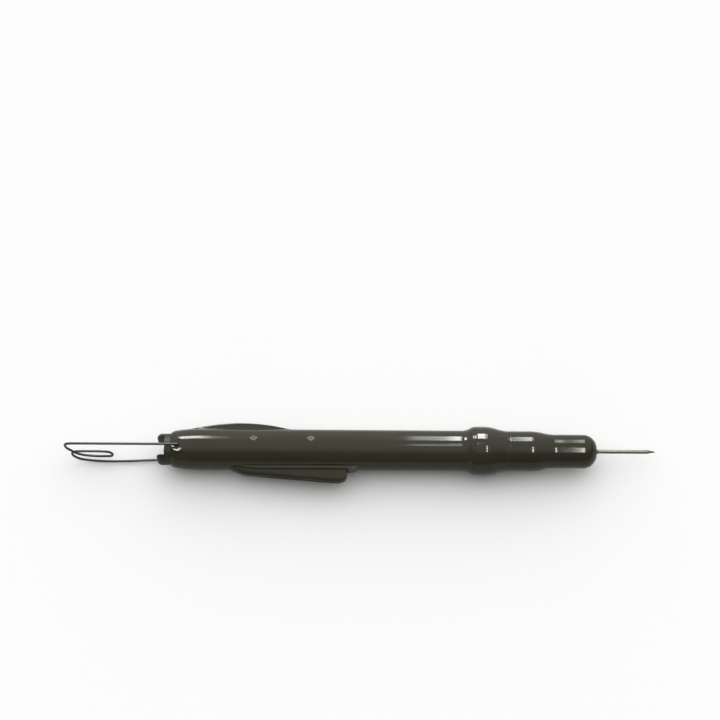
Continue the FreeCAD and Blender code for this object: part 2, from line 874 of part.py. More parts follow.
def make_planet_carrier():
    x_from = x_teeth_front + carrier_gap
    plate = tube_x(x_from, x_cam_front, carrier_radius, spindle_tail_radius + seat_gap)
    hole = rod_x(x_from, x_cam_front, planet_pin_radius + seat_gap, planet_orbit)
    return plate.cut(around(hole, planet_count))


# Motor
def make_motor_can():
    can = tube_x(x_bell_front, x_case_rear, case_radius, case_radius - can_wall)
    x_front_wall = x_case_rear - can_front_wall
    wall = tube_x(x_front_wall, x_case_rear, case_radius, motor_bush_radius + seat_gap)
    return can.fuse(wall).removeSplitter()


def make_motor_front_bush():
    x_from = x_case_rear - can_front_wall - end_gap
    x_to = x_case_rear + case_tail
    return tube_x(x_from, x_to, motor_bush_radius, shaft_radius + running_gap)


def make_motor_end_bell():
    bell = rod_x(x_motor_rear, x_bell_front, case_radius)
    pocket = rod_x(x_motor_rear + rib_width, x_bell_front, core_radius)
    hole = rod_x(x_motor_rear, x_bell_front, motor_bush_radius + seat_gap)
    return bell.cut([pocket, hole])


def make_motor_rear_bush():
    x_to = x_motor_rear + rib_width
    return tube_x(x_motor_rear, x_to, motor_bush_radius, shaft_radius + running_gap)


def make_motor_magnets():
    x_from = x_core_rear - magnet_overhang
    x_to = x_core_front + magnet_overhang
    outer = case_radius - can_wall - seat_gap
    outline = Outline(x_from, outer - magnet_thickness)
    outline.line_to(x_to, outer - magnet_thickness)
    outline.line_to(x_to, outer)
    outline.line_to(x_from, outer)
    magnet = outline.face().revolve(Vector(0, 0, 0), Vector(1, 0, 0), magnet_span)
    return Part.makeCompound(around(magnet, 2))


def make_armature_core():
    core = tube_x(x_core_rear, x_core_front, core_radius, shaft_radius + seat_gap)
    half = core_slot_width / 2
    depth = core_radius - core_slot_depth
    slot = block(x_core_rear, x_core_front, depth, core_radius, -half, half)
    return core.cut(around(slot, core_slot_count))


def make_armature_winding():
    rear = tube_x(x_core_rear - winding_length, x_core_rear, winding_radius, winding_bore)
    front = tube_x(x_core_front, x_core_front + winding_length, winding_radius, winding_bore)
    ends = []
    for ring in (rear, front):
        ends.append(rounded(ring, winding_length / 4, lambda edge: edge_radius(edge) > winding_bore))
    return Part.makeCompound(ends)


def edge_radius(edge):
    """Radius of a round edge, or zero."""
    return getattr(edge.Curve, "Radius", 0)


def make_commutator():
    x_to = x_bell_front - end_gap
    x_from = x_to - commutator_length
    bore = shaft_radius + seat_gap
    drum = tube_x(x_from, x_to, commutator_radius, bore)
    half = seat_gap * 4
    slit = block(x_from, x_to, (commutator_radius + bore) / 2, commutator_radius, -half, half)
    return drum.cut(around(slit, core_slot_count))


def make_motor_brushes():
    x_middle = x_bell_front - end_gap - commutator_length / 2
    half = brush_width / 2
    z_from = commutator_radius + running_gap
    z_to = core_radius - running_gap
    brush = block(x_middle - half, x_middle + half, -half, half, z_from, z_to)
    reach = (core_radius - running_gap) ** 2 - half ** 2
    cover = block(x_middle - half, x_middle + half, -half, half, z_from, math.sqrt(reach))
    return Part.makeCompound(around(brush.common(cover), 2))


def make_motor_shaft():
    return rod_x(x_motor_rear, x_planet_front, shaft_radius)


# Housing shells
def shell_skin():
    """Outside of both shells as one turned solid."""
    x_round_front = x_shell_rear + rear_round_length
    outline = Outline(x_shell_rear, 0)
    outline.line_to(x_shell_rear, shell_end_radius)
    outline.line_to(x_shell_rear + shell_end_chamfer, shell_shoulder_radius)
    outline.ease_to(x_round_front, barrel_rear_radius, 0)
    outline.line_to(x_shell_front - flare_length, barrel_front_radius)
    outline.curve_to(x_shell_front, flare_radius)
    outline.line_to(x_shell_front, shell_spigot_radius)
    outline.line_to(x_spigot_front, shell_spigot_radius)
    outline.line_to(x_spigot_front, 0)
    return lathe(outline)


def hump_pad():
    """Switch hump as a lens on the +Y side."""
    base = barrel_rear_radius - hump_sink
    outline = Outline(x_pivot - hump_half_length, bore_radius)
    outline.line_to(x_pivot - hump_half_length, base)
    crest = Vector(x_pivot, hump_crest, 0)
    outline.arc_to(crest, Vector(x_pivot + hump_half_length, base, 0))
    outline.line_to(x_pivot + hump_half_length, bore_radius)
    pad = slab(outline, hump_half_width)
    middle = (base + hump_crest) / 2
    return rounded(pad, hump_edge_round, lambda edge: edge.CenterOfMass.y > middle and edge_radius(edge) > 0)


def bezel_pad():
    """Raised rim round the lever slot on the -Y side."""
    x_from = x_slot_rear - bezel_rear
    x_to = x_slot_front + bezel_front
    outline = Outline(x_from, -bore_radius)
    outline.line_to(x_from, -bezel_end_height)
    outline.heading = heading_at(0)
    outline.bend_to(x_from + bezel_rear_slope_length, -bezel_height, 0)
    outline.line_to(x_to - bezel_front_slope_length, -bezel_height)
    outline.bend_to(x_to, -bezel_end_height, 0)
    outline.line_to(x_to, -bore_radius)
    pad = slab(outline, bezel_half_width)
    limit = -(bezel_height + bezel_end_height) / 2

    def rim(edge):
        middle = edge.CenterOfMass
        return abs(abs(middle.z) - bezel_half_width) < tiny and middle.y < limit

    return rounded(pad, bezel_edge_round, rim)


def bail_bosses():
    """Round bosses for the bail on both shells."""
    top = bail_level
    boss = rod_z(-top, top, bail_boss_radius, x_bail, bail_side_shift)
    return rounded(boss, bail_boss_sink, lambda edge: edge_radius(edge) > 0 and len(edge.Vertexes) == 1)


def shell_cavity():
    """Room inside both shells."""
    x_rear = x_shell_rear + rear_wall
    main = rod_x(x_shell_rear + rear_round_length, x_spigot_front, bore_radius)
    rear = rod_x(x_rear, x_shell_rear + rear_round_length, rear_bore_radius)
    mouth = rod_x(x_shell_rear, x_rear, cap_neck_radius + seat_gap)
    half_length = hump_pocket_length / 2
    half_width = hump_pocket_width / 2
    pocket_top = hump_crest - knob_recess_depth - knob_floor
    pocket = block(x_knob - half_length, x_knob + half_length, 0, pocket_top, -half_width, half_width)
    return main.fuse([rear, mouth, pocket])


def shell_ribs():
    """Stops, board rails, screw columns and lever ears inside the shells."""
    outer = bore_radius + shell_wall / 2
    inner = bore_radius - stop_rib_depth
    ribs = []
    x_case_stop = x_wall_front + running_gap
    ribs.append(tube_x(x_case_stop, x_case_stop + clutch_lift, outer, inner))
    x_motor_stop = x_motor_rear - running_gap
    ribs.append(tube_x(x_motor_stop - rib_width, x_motor_stop, outer, inner))
    rail = board_half_width - stop_rib_depth
    for x_rail in board_rail_places():
        disc = rod_x(x_rail, x_rail + rib_width, outer)
        ribs.append(disc.cut(block(x_rail, x_rail + rib_width, -outer, outer, -rail, rail)))
    for x_screw in screw_places:
        ribs.append(rod_z(-bore_radius, bore_radius, screw_boss_radius, x_screw, screw_offset))
    ear_top = -(lever_pivot_height - ear_depth)
    ear_floor = -(lever_pivot_height + lever_pin_radius)
    x_from = x_pivot - ear_half_length
    x_to = x_pivot + ear_half_length
    for side in (-1, 1):
        near = side * (slot_half_width + running_gap)
        far = side * lever_pin_half_length
        ribs.append(block(x_from, x_to, ear_floor, ear_top, min(near, far), max(near, far)))
    return ribs


def board_rail_places():
    """Stations of the two ribs that hold the board."""
    return x_shell_rear + rear_round_length + board_rib_reach, x_board_front - 4 * board_rib_reach


def shell_openings():
    """Slots, holes and pockets cut through the finished shells."""
    cuts = []
    far = bezel_height + overrun
    near = lever_pivot_height
    cuts.append(block(x_slot_rear, x_slot_front, -far, -near, -slot_half_width, slot_half_width))
    pin_reach = lever_pin_half_length + end_gap
    pin_hole = lever_pin_radius + seat_gap
    cuts.append(rod_z(-pin_reach, pin_reach, pin_hole, x_pivot, -lever_pivot_height))
    wire_hole = bail_wire_radius + running_gap
    reach = bail_half_width + overrun
    cuts.append(rod_z(-reach, reach, wire_hole, x_bail, bail_side_shift))
    board = board_half_width + running_gap
    y_from = board_floor - running_gap
    y_to = board_level + running_gap
    for x_rail in board_rail_places():
        cuts.append(block(x_rail, x_rail + rib_width, y_from, y_to, -board, board))
    for x_screw in screw_places:
        cuts.append(screw_form(x_screw, running_gap))
    cuts.append(knob_room())
    return cuts


def screw_head_level():
    """Height of the top of the screw heads."""
    return math.sqrt(barrel_front_radius ** 2 - screw_offset ** 2) - screw_head_sink


def screw_form(x_screw, grown):
    """One housing screw, or the room it takes when grown."""
    top = screw_head_level()
    seat = top - screw_head_height
    lift = overrun if grown else 0
    head = rod_z(seat, top + lift, screw_head_radius + grown, x_screw, screw_offset)
    stem = rod_z(top - screw_length, seat, screw_radius + grown, x_screw, screw_offset)
    return head.fuse(stem).removeSplitter()


def knob_room():
    """Recess and slot for the direction knob in the hump crest."""
    margin = knob_recess_margin
    half = knob_length / 2 + knob_throw + margin
    wide = knob_width / 2 + margin
    floor = hump_crest - knob_recess_depth
    recess = block(x_knob - half, x_knob + half, floor, hump_crest + overrun, -wide, wide)
    half = knob_stem_length / 2 + knob_throw + margin
    wide = knob_stem_width / 2 + slide_gap
    slot = block(x_knob - half, x_knob + half, bore_radius, floor, -wide, wide)
    return recess.fuse(slot)


def whole_shell():
    """Both shells in one piece, before they are parted."""
    shell = shell_skin().fuse([hump_pad(), bezel_pad(), bail_bosses()])
    shell = shell.cut(shell_cavity())
    shell = shell.fuse(shell_ribs())
    return shell.cut(shell_openings()).removeSplitter()


def make_housing(side):
    """Upper shell for side 1, lower shell for side -1."""
    reach = ring_radius + overrun
    deep = hump_crest + lever_tip_height
    z_from = min(0, side * reach)
    z_to = max(0, side * reach)
    half = block(x_shell_rear - overrun, x_ring_front, -deep, deep, z_from, z_to)
    return whole_shell().common(half)


def make_housing_screws():
    screws = []
    for x_screw in screw_places:
        screw = screw_form(x_screw, 0)
        top = screw_head_level()
        half = screw_radius / 4
        depth = screw_head_height / 2
        for wide, deep in ((screw_radius, half), (half, screw_radius)):
            slot = block(-wide, wide, -deep, deep, top - depth, top)
            screw = screw.cut(slot.translated(Vector(x_screw, screw_offset, 0)))
        screws.append(screw)
    return Part.makeCompound(screws)


def make_front_clamp_ring():
    x_from = x_shell_front + seat_gap
    return tube_x(x_from, x_spigot_front - seat_gap, clamp_radius, shell_spigot_radius + seat_gap)


# Start lever
def make_lever():
    x_blend = x_lever_rear + lever_blend_length
    x_tip = x_lever_front - lever_tip_round
    x_toe = x_lever_front - lever_toe_length
    x_heel = x_lever_rear + lever_heel_length
    toe_floor = lever_floor - lever_toe_depth
    slope = math.degrees(math.atan2(lever_tip_height - lever_blend_height, x_tip - x_blend))
    outline = Outline(x_lever_rear, -lever_heel_floor)
    outline.line_to(x_lever_rear, -lever_heel_height)
    outline.line_to(x_lever_rear + lever_heel_slant, -(lever_heel_height + lever_heel_lift))
    outline.bend_to(x_blend, -lever_blend_height, -slope)
    outline.line_to(x_tip, -lever_tip_height)
    outline.bend_to(x_lever_front, -(lever_tip_height - lever_tip_drop), 90)
    outline.line_to(x_lever_front, -lever_floor)
    outline.line_to(x_lever_front + lever_toe_reach, -lever_floor)
    outline.line_to(x_lever_front + lever_toe_reach, -toe_floor)
    outline.line_to(x_toe, -toe_floor)
    outline.line_to(x_toe, -lever_floor)
    outline.line_to(x_heel, -lever_floor)
    outline.line_to(x_heel, -lever_heel_floor)
    lever = slab(outline, lever_half_width)
    edge_line = (lever_heel_height + lever_floor) / 2
    width = lever_half_width

    def outer(edge):
        middle = edge.CenterOfMass
        return abs(abs(middle.z) - width) < tiny and middle.y < -edge_line and middle.x > x_lever_rear + tiny

    lever = rounded(lever, lever_edge_round, outer)
    hole = rod_z(-width, width, lever_pin_radius + running_gap, x_pivot, -lever_pivot_height)
    return lever.cut(hole)


def make_lever_pin():
    half = lever_pin_half_length
    return rod_z(-half, half, lever_pin_radius, x_pivot, -lever_pivot_height)


def make_lever_spring():
    y_from = board_floor - start_switch_height + lever_spring_seat
    start = Vector(x_lever_spring, y_from, 0)
    length = y_from + lever_floor
    axis = Vector(0, -1, 0)
    across = Vector(1, 0, 0)
    turns = lever_spring_turns
    return coil(start, axis, across, lever_spring_radius, lever_wire_radius, length, turns)


# Board and switches
def make_circuit_board():
    half = board_half_width
    return block(x_board_rear, x_board_front, board_floor, board_level, -half, half)


def make_start_switch():
    y_from = board_floor - start_switch_height
    half = start_switch_width / 2
    body = block(x_start_switch_rear, x_start_switch_front, y_from, board_floor, -half, half)
    well_radius = lever_spring_radius + 2 * lever_wire_radius
    well = rod_y(y_from, y_from + lever_spring_seat, well_radius, x_lever_spring)
    bore = rod_y(y_from, board_floor - running_gap, plunger_radius + running_gap, x_plunger)
    return body.cut([well, bore])


def make_switch_plunger():
    y_tip = -(lever_floor - slide_gap)
    return rod_y(y_tip, y_tip + plunger_stem, plunger_radius, x_plunger)


def make_direction_switch():
    half = direction_switch_length / 2
    wide = direction_switch_width / 2
    top = board_level + direction_switch_height
    return block(x_knob - half, x_knob + half, board_level, top, -wide, wide)


def make_direction_knob():
    floor = hump_crest - knob_recess_depth + slide_gap
    half = knob_length / 2
    wide = knob_width / 2
    cap = block(x_knob - half, x_knob + half, floor, floor + knob_height, -wide, wide)
    grip = rod_z(-wide, wide, knob_groove_radius, x_knob, floor + knob_height)
    grips = []
    for index in range(knob_groove_count):
        step = (index - (knob_groove_count - 1) / 2) * knob_length / (knob_groove_count + 1)
        grips.append(grip.translated(Vector(step, 0, 0)))
    cap = cap.cut(grips)
    half = knob_stem_length / 2
    wide = knob_stem_width / 2
    foot = board_level + direction_switch_height + slide_gap
    stem = block(x_knob - half, x_knob + half, foot, floor, -wide, wide)
    return cap.fuse(stem).removeSplitter()


def make_board_components():
    x_gap = board_rib_reach
    x_front = x_front_screw - screw_boss_radius - x_gap
    x_rear = x_rear_screw + screw_boss_radius + x_gap
    x_step = (x_front - x_rear) / component_count
    half = board_half_width / 2
    pieces = []
    for index in range(component_count):
        x_from = x_rear + x_step * index
        top = board_level + board_half_width / (2 + index)
        x_to = x_from + x_step * component_share
        pieces.append(block(x_from, x_to, board_level, top, -half, half))
    drum_radius = board_half_width / 3
    x_from = x_board_rear + lead_run + x_gap
    x_to = x_slot_rear - x_gap
    drum_y = board_floor - drum_radius
    pieces.append(rod_x(x_from, x_to, drum_radius, drum_y, drum_radius + x_gap / 2))
    pieces.append(rod_x(x_from, x_to, drum_radius, drum_y, -drum_radius - x_gap / 2))
    return Part.makeCompound(pieces)


def make_motor_leads():
    y_middle = (board_floor + board_level) / 2
    leads = []
    for side in (-1, 1):
        z_place = side * motor_lead_offset
        leads.append(rod_x(x_board_front, x_motor_rear, motor_lead_radius, y_middle, z_place))
    return Part.makeCompound(leads)


# Rear cap and power socket
def make_rear_cap():
    x_neck_front = x_shell_rear + rear_wall
    x_flange_front = x_neck_front + cap_flange_width
    outline = Outline(x_cap_rear, 0)
    outline.line_to(x_cap_rear, cap_radius - cap_round)
    outline.heading = heading_at(90)
    outline.bend_to(x_cap_rear + cap_round, cap_radius, 0)
    outline.line_to(x_shell_rear, cap_radius)
    outline.line_to(x_shell_rear, cap_neck_radius)
    outline.line_to(x_neck_front, cap_neck_radius)
    outline.line_to(x_neck_front, rear_bore_radius - slide_gap)
    outline.line_to(x_flange_front, rear_bore_radius - slide_gap)
    outline.line_to(x_flange_front, 0)
    cap = lathe(outline)
    half = channel_half_width
    reach = cap_radius + overrun
    channel = block(x_cap_rear - overrun, x_cap_rear + channel_depth, -half, half, -reach, reach)
    bore = rod_x(x_cap_rear, x_flange_front, socket_outer_radius + seat_gap)
    return cap.cut([channel, bore])


def make_socket_shell():
    mouth = tube_x(x_socket_mouth, x_insert_rear, socket_outer_radius, socket_radius)
    grip = tube_x(x_insert_rear, x_insert_front, socket_outer_radius, insert_radius + seat_gap)
    return mouth.fuse(grip).removeSplitter()


def contact_rods(radius, x_from, x_to):
    """Rods at the contact places of the socket."""
    rod = turned(rod_x(x_from, x_to, radius, contact_ring_radius), 180 / contact_count)
    return around(rod, contact_count)


def make_socket_insert():
    insert = rod_x(x_insert_rear, x_insert_front, insert_radius)
    return insert.cut(contact_rods(contact_radius + seat_gap, x_insert_rear, x_insert_front))


def make_socket_contacts():
    contacts = []
    rods = contact_rods(contact_radius, x_insert_rear, x_insert_front + contact_tail)
    bores = contact_rods(contact_bore, x_insert_rear, x_insert_front)
    for rod, bore in zip(rods, bores):
        contacts.append(rod.cut(bore))
    return Part.makeCompound(contacts)


def make_supply_leads():
    x_from = x_insert_front + contact_tail
    x_to = x_board_rear + lead_run
    leads = []
    for index in range(contact_count):
        angle = math.radians(180 / contact_count + 360 * index / contact_count)
        y_from = contact_ring_radius * math.cos(angle)
        z_from = contact_ring_radius * math.sin(angle)
        if y_from > 0:
            y_to = board_level + lead_radius
        else:
            y_to = board_floor - lead_radius
        forward = Vector(1, 0, 0)
        x_edge = x_board_rear - end_gap
        stations = (
            (Vector(x_from, y_from, z_from), forward),
            (Vector(x_edge, y_to, z_from), forward),
            (Vector(x_to, y_to, z_from), forward),
        )
        path, lead = wire_form(stations, lead_radius)
        leads.append(lead)
    return Part.makeCompound(leads)


# Bail
def make_bail():
    inner = bail_half_width - bail_end_depth
    corner = bail_half_width - bail_bend
    side = bail_side_shift
    up = Vector(0, 0, 1)
    stations = [
        (Vector(x_bail, side, inner), up),
        (Vector(x_bail, side, corner), up),
        (Vector(x_bail - bail_bend, side, bail_half_width), Vector(-1, 0, 0)),
    ]
    for along, across, lift, angle in bail_loop_shares:
        x_place = x_bail - along * bail_length
        point = Vector(x_place, side + lift * bail_lift, across * bail_half_width)
        flat = heading_at(angle)
        stations.append((point, Vector(flat.x, 0, flat.y)))
    stations.append((Vector(x_bail - bail_bend, side, -bail_half_width), Vector(1, 0, 0)))
    stations.append((Vector(x_bail, side, -corner), up))
    stations.append((Vector(x_bail, side, -inner), up))
    path, bail = wire_form(stations, bail_wire_radius)
    print("bail: least gap to itself", round(least_gap(path, bail_wire_radius, bail_half_width), 2), "mm")
    return bail


def all_pieces():
    """Every node of the assembly by name."""
    pieces = {
        "bit": make_bit(),
        "chuck_sleeve": make_chuck_sleeve(),
        "chuck_spring": make_chuck_spring(),
        "chuck_balls": make_chuck_balls(),
        "chuck_clip": make_chuck_clip(),
        "spindle": make_spindle(),
        "spindle_front_bush": make_front_bush(),
        "spindle_rear_bush": make_rear_bush(),
        "nose_cover": make_nose_cover(),
        "torque_ring": make_torque_ring(),
        "spring_nut": make_spring_nut(),
        "clutch_spring": make_clutch_spring(),
        "thrust_washer": make_thrust_washer(),
        "clutch_pins": make_clutch_pins(),
        "gearbox_case": make_gearbox_case(),
        "ring_gear": make_ring_gear(),
        "sun_gear": make_sun_gear(),
        "planet_pins": make_planet_pins(),
        "planet_carrier": make_planet_carrier(),
        "motor_can": make_motor_can(),
        "motor_front_bush": make_motor_front_bush(),
        "motor_end_bell": make_motor_end_bell(),
        "motor_rear_bush": make_motor_rear_bush(),
        "motor_magnets": make_motor_magnets(),
        "armature_core": make_armature_core(),
        "armature_winding": make_armature_winding(),
        "commutator": make_commutator(),
        "motor_brushes": make_motor_brushes(),
        "motor_shaft": make_motor_shaft(),
        "housing_upper": make_housing(1),
        "housing_lower": make_housing(-1),
        "housing_screws": make_housing_screws(),
        "front_clamp_ring": make_front_clamp_ring(),
        "lever": make_lever(),
        "lever_pin": make_lever_pin(),
        "lever_spring": make_lever_spring(),
        "circuit_board": make_circuit_board(),
        "start_switch": make_start_switch(),
        "switch_plunger": make_switch_plunger(),
        "direction_switch": make_direction_switch(),
        "direction_knob": make_direction_knob(),
        "board_components": make_board_components(),
        "motor_leads": make_motor_leads(),
        "rear_cap": make_rear_cap(),
        "socket_shell": make_socket_shell(),
        "socket_insert": make_socket_insert(),
        "socket_contacts": make_socket_contacts(),
        "supply_leads": make_supply_leads(),
        "bail": make_bail(),
    }
    for index in range(planet_count):
        pieces[f"planet_gear_{index + 1}"] = make_planet_gear(index)
    return pieces


def main():
    os.makedirs("parts", exist_ok=True)
    for name, shape in all_pieces().items():
        if not shape.isValid():
            print(name, "is not a valid shape")
        print(name, len(shape.Solids), "solid", round(shape.Volume, 1), "mm3")
        shape.exportStep(f"parts/{name}.step")


main()
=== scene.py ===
"""Dressed model of an in-line electric screwdriver on a pale studio floor.

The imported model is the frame: +X runs along the drive axis towards the bit, the start
lever faces -Y, the switch hump faces +Y and +Z is up. Sizes in the classes are in
millimetres, and each outer piece is a surface worked out with numpy on a grid.
"""

import json
import logging
import math
from collections.abc import Callable
from dataclasses import dataclass, field
from enum import Enum

import bpy
import numpy as np
from mathutils import Matrix, Vector


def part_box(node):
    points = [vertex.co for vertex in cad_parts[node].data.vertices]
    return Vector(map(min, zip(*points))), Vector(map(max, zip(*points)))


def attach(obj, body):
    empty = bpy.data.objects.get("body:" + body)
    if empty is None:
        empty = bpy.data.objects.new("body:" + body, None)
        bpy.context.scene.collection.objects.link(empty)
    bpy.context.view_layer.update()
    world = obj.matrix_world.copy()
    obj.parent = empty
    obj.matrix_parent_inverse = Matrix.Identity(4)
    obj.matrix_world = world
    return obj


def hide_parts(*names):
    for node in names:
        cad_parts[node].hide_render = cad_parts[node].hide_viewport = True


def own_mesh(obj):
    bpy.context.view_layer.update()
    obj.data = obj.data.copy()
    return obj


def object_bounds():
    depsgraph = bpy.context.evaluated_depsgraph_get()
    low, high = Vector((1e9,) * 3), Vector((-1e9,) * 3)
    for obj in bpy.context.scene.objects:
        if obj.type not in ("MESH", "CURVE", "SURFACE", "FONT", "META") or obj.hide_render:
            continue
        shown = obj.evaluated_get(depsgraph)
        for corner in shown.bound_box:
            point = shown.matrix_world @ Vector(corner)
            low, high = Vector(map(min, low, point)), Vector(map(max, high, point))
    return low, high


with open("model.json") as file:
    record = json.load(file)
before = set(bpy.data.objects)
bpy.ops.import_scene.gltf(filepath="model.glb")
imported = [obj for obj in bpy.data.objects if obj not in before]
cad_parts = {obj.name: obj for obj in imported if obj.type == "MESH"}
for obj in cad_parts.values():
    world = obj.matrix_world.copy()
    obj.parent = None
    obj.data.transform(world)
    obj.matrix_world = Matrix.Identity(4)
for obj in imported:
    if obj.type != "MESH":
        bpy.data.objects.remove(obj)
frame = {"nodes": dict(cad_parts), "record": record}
cad_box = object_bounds()

LOG = logging.getLogger("screwdriver")
METRES = 0.001
BACK = np.array([-1.0, 0.0])

# An arc counts as straight, and two headings as parallel, below these
STRAIGHT = 1e-7
PARALLEL = 1e-6
# Share of a side that the arc in a corner may take
CORNER_ROOM = 0.45

Array = np.ndarray
Point = Array | tuple[float, ...]
Colour = tuple[float, float, float]
Pair = tuple[float, float]
Socket = bpy.types.NodeSocket
Feed = Socket | float | tuple[float, ...]


# Curves and fields


def smooth_max(first: Array, second: Array, blend: float) -> Array:
    """Larger of two fields with a fillet where they meet.

    The maximum, plus (blend - gap)^2 / (4 blend) where the gap between them is under blend.

    Args:
        first: One field.
        second: The other field, of a shape that fits the first.
        blend: Gap in millimetres within which the fillet runs.

    Returns:
        The joined field.
    """
    gap = np.clip(blend - np.abs(first - second), 0.0, None)
    return np.maximum(first, second) + gap * gap / (4.0 * blend)


def smooth_min(first: Array, second: Array, blend: float) -> Array:
    """Smaller of two fields with a rounded edge: minus smooth_max of both negated."""
    return -smooth_max(-first, -second, blend)


def ramp(low: float, high: float, value: Array) -> Array:
    """Smooth step from 0 at low to 1 at high: t*t*(3 - 2t) on the clipped share t."""
    share = np.clip((value - low) / (high - low), 0.0, 1.0)
    return share * share * (3.0 - 2.0 * share)


def arc_rise(run: float, rise: float, away: Array) -> Array:
    """Height of an arc that starts level: rho - sqrt(rho^2 - d^2) at distance d.

    Args:
        run: Length of the arc along its first direction.
        rise: Height at its end.
        away: Distances from its start, which count no further than its two ends.

    Returns:
        Height at each distance.
    """
    rho = (run * run + rise * rise) / (2.0 * rise)
    near = np.clip(away, 0.0, run)
    return rho - np.sqrt(rho * rho - near * near)


def arc_points(start: Point, heading: Point, end: Point, steps: int) -> Array:
    """Points on the arc that leaves start along heading and reaches end.

    With n square to the heading on the side of the end, a point is start plus
    radius * (sin(a) * heading + (1 - cos(a)) * n), a running to twice the chord's angle.

    Args:
        start: First point, in two or three dimensions.
        heading: Unit heading at the first point.
        end: Last point.
        steps: Number of points.

    Returns:
        Array of points, one row each.
    """
    start, heading, end = np.array(start), np.array(heading), np.array(end)
    chord = end - start
    length = np.linalg.norm(chord)
    across = chord - heading * heading.dot(chord)
    width = np.linalg.norm(across)
    share = np.linspace(0.0, 1.0, steps)[:, None]
    if width < STRAIGHT * length:
        return start + chord * share
    half = math.atan2(width, heading.dot(chord))
    radius = length / (2.0 * math.sin(half))
    turn = 2.0 * half * share
    return start + radius * (np.sin(turn) * heading + (1.0 - np.cos(turn)) * across / width)


def biarc_points(start: Point, leaving: Point, end: Point, arriving: Point, steps: int) -> Array:
    """Points on two arcs that meet smoothly between two headed points.

    The arcs meet half way between start + reach * leaving and end - reach * arriving,
    and reach is the length at which both arcs have equal tangents.

    Args:
        start: First point.
        leaving: Unit heading at the first point.
        end: Last point.
        arriving: Unit heading at the last point.
        steps: Number of points on each arc.

    Returns:
        Array of points, one row each.
    """
    start, leaving, end, arriving = (np.array(part) for part in (start, leaving, end, arriving))
    span = end - start
    bend = 2.0 * (1.0 - leaving.dot(arriving))
    lean = span.dot(leaving + arriving)
    if bend < PARALLEL:
        reach = span.dot(span) / (4.0 * span.dot(arriving))
    else:
        reach = (math.sqrt(lean * lean + bend * span.dot(span)) - lean) / bend
    joint = (start + leaving * reach + end - arriving * reach) / 2.0
    first = arc_points(start, leaving, joint, steps)
    second = arc_points(end, -arriving, joint, steps)[::-1]
    return np.concatenate([first, second[1:]])


def rounded_loop(corners: Array, radii: Array, steps: int = 4) -> Array:
    """Closed outline with an arc of its own radius in each corner.

    Each arc is a conic from one side to the other with the corner as its middle point
    and the sine of half the corner's angle as weight, which makes it a true circle.

    Args:
        corners: Corner points of the outline, one row each.
        radii: Radius of each corner, 0 where the corner stays a point.
        steps: Points on each arc.

    Returns:
        Array of outline points, one row each.
    """
    before = np.roll(corners, 1, axis=0) - corners
    after = np.roll(corners, -1, axis=0) - corners
    before_length = np.linalg.norm(before, axis=1, keepdims=True)
    after_length = np.linalg.norm(after, axis=1, keepdims=True)
    before = before / before_length
    after = after / after_length
    half = np.arccos(np.clip((before * after).sum(axis=1, keepdims=True), -1.0, 1.0)) / 2.0
    room = CORNER_ROOM * np.minimum(before_length, after_length)
    reach = np.minimum(radii[:, None] / np.tan(half), room)
    share = np.linspace(0.0, 1.0, steps)[None, :, None]
    start = (corners + before * reach)[:, None, :]
    end = (corners + after * reach)[:, None, :]
    weight = 2.0 * share * (1.0 - share) * np.sin(half)[:, None, :]
    near = (1.0 - share) ** 2
    far = share ** 2
    points = (near * start + weight * corners[:, None, :] + far * end) / (near + weight + far)
    keep = (radii > 0.0)[:, None] | (np.arange(steps) == 0)[None, :]
    return points[keep]


def full_turn(steps: int) -> Array:
    """Even directions of one turn, which ends just before it comes round."""
    return np.linspace(0.0, 2.0 * np.pi, steps, endpoint=False)


def about_axis(x: Array, radius: Array, angle: Array) -> Array:
    """Points about the drive axis, from +Y towards +Z: (x, r cos a, r sin a)."""
    return np.stack(np.broadcast_arrays(x, radius * np.cos(angle), radius * np.sin(angle)), axis=-1)


def turned(outline: Array, steps: int = 160) -> Array:
    """Outline of (x, radius) turned about the drive axis, as a grid of outline by turn."""
    return about_axis(outline[:, 0:1], outline[:, 1:2], full_turn(steps))


def turned_upright(outline: Array, centre: Pair, steps: int = 64) -> Array:
    """Outline of (radius, height) turned about an upright line through centre.

    A point is (cx + r cos a, cy + r sin a, height).

    Args:
        outline: Rows of radius and height.
        centre: Place of the line in X and Y.
        steps: Points round the line.

    Returns:
        Grid of points, outline by turn.
    """
    angle = full_turn(steps)
    radius = outline[:, 0:1]
    x = centre[0] + radius * np.cos(angle)
    y = centre[1] + radius * np.sin(angle)
    return np.stack(np.broadcast_arrays(x, y, outline[:, 1:2]), axis=-1)


def wire_grid(line: Array, wire: float, upright: Array, sides: int) -> Array:
    """Carries a circle along a line.

    The circle's axes are the upright direction squared off against the line, and the cross
    product of both.

    Args:
        line: Points of the wire's middle.
        wire: Radius of the wire.
        upright: Direction that the line never follows.
        sides: Points round the wire.

    Returns:
        Grid of points, one row for each point of the line.
    """
    ahead = np.gradient(line, axis=0)
    ahead /= np.linalg.norm(ahead, axis=1, keepdims=True)
    across = upright - (ahead @ upright)[:, None] * ahead
    across /= np.linalg.norm(across, axis=1, keepdims=True)
    beside = np.cross(ahead, across)
    angle = full_turn(sides)[None, :, None]
    ring = np.cos(angle) * across[:, None, :] + np.sin(angle) * beside[:, None, :]
    return line[:, None, :] + wire * ring


# Meshes


def grid_cells(index: Array) -> Array:
    """Four point numbers of each cell of a grid of point numbers."""
    return np.stack([index[:-1, :-1], index[1:, :-1], index[1:, 1:], index[:-1, 1:]], axis=-1)


def linked(name: str, data: bpy.types.ID) -> bpy.types.Object:
    """Makes an object and links it to the scene.

    Args:
        name: Name of the object.
        data: Its mesh, light or camera.

    Returns:
        The linked object.
    """
    made = bpy.data.objects.new(name, data)
    bpy.context.scene.collection.objects.link(made)
    return made


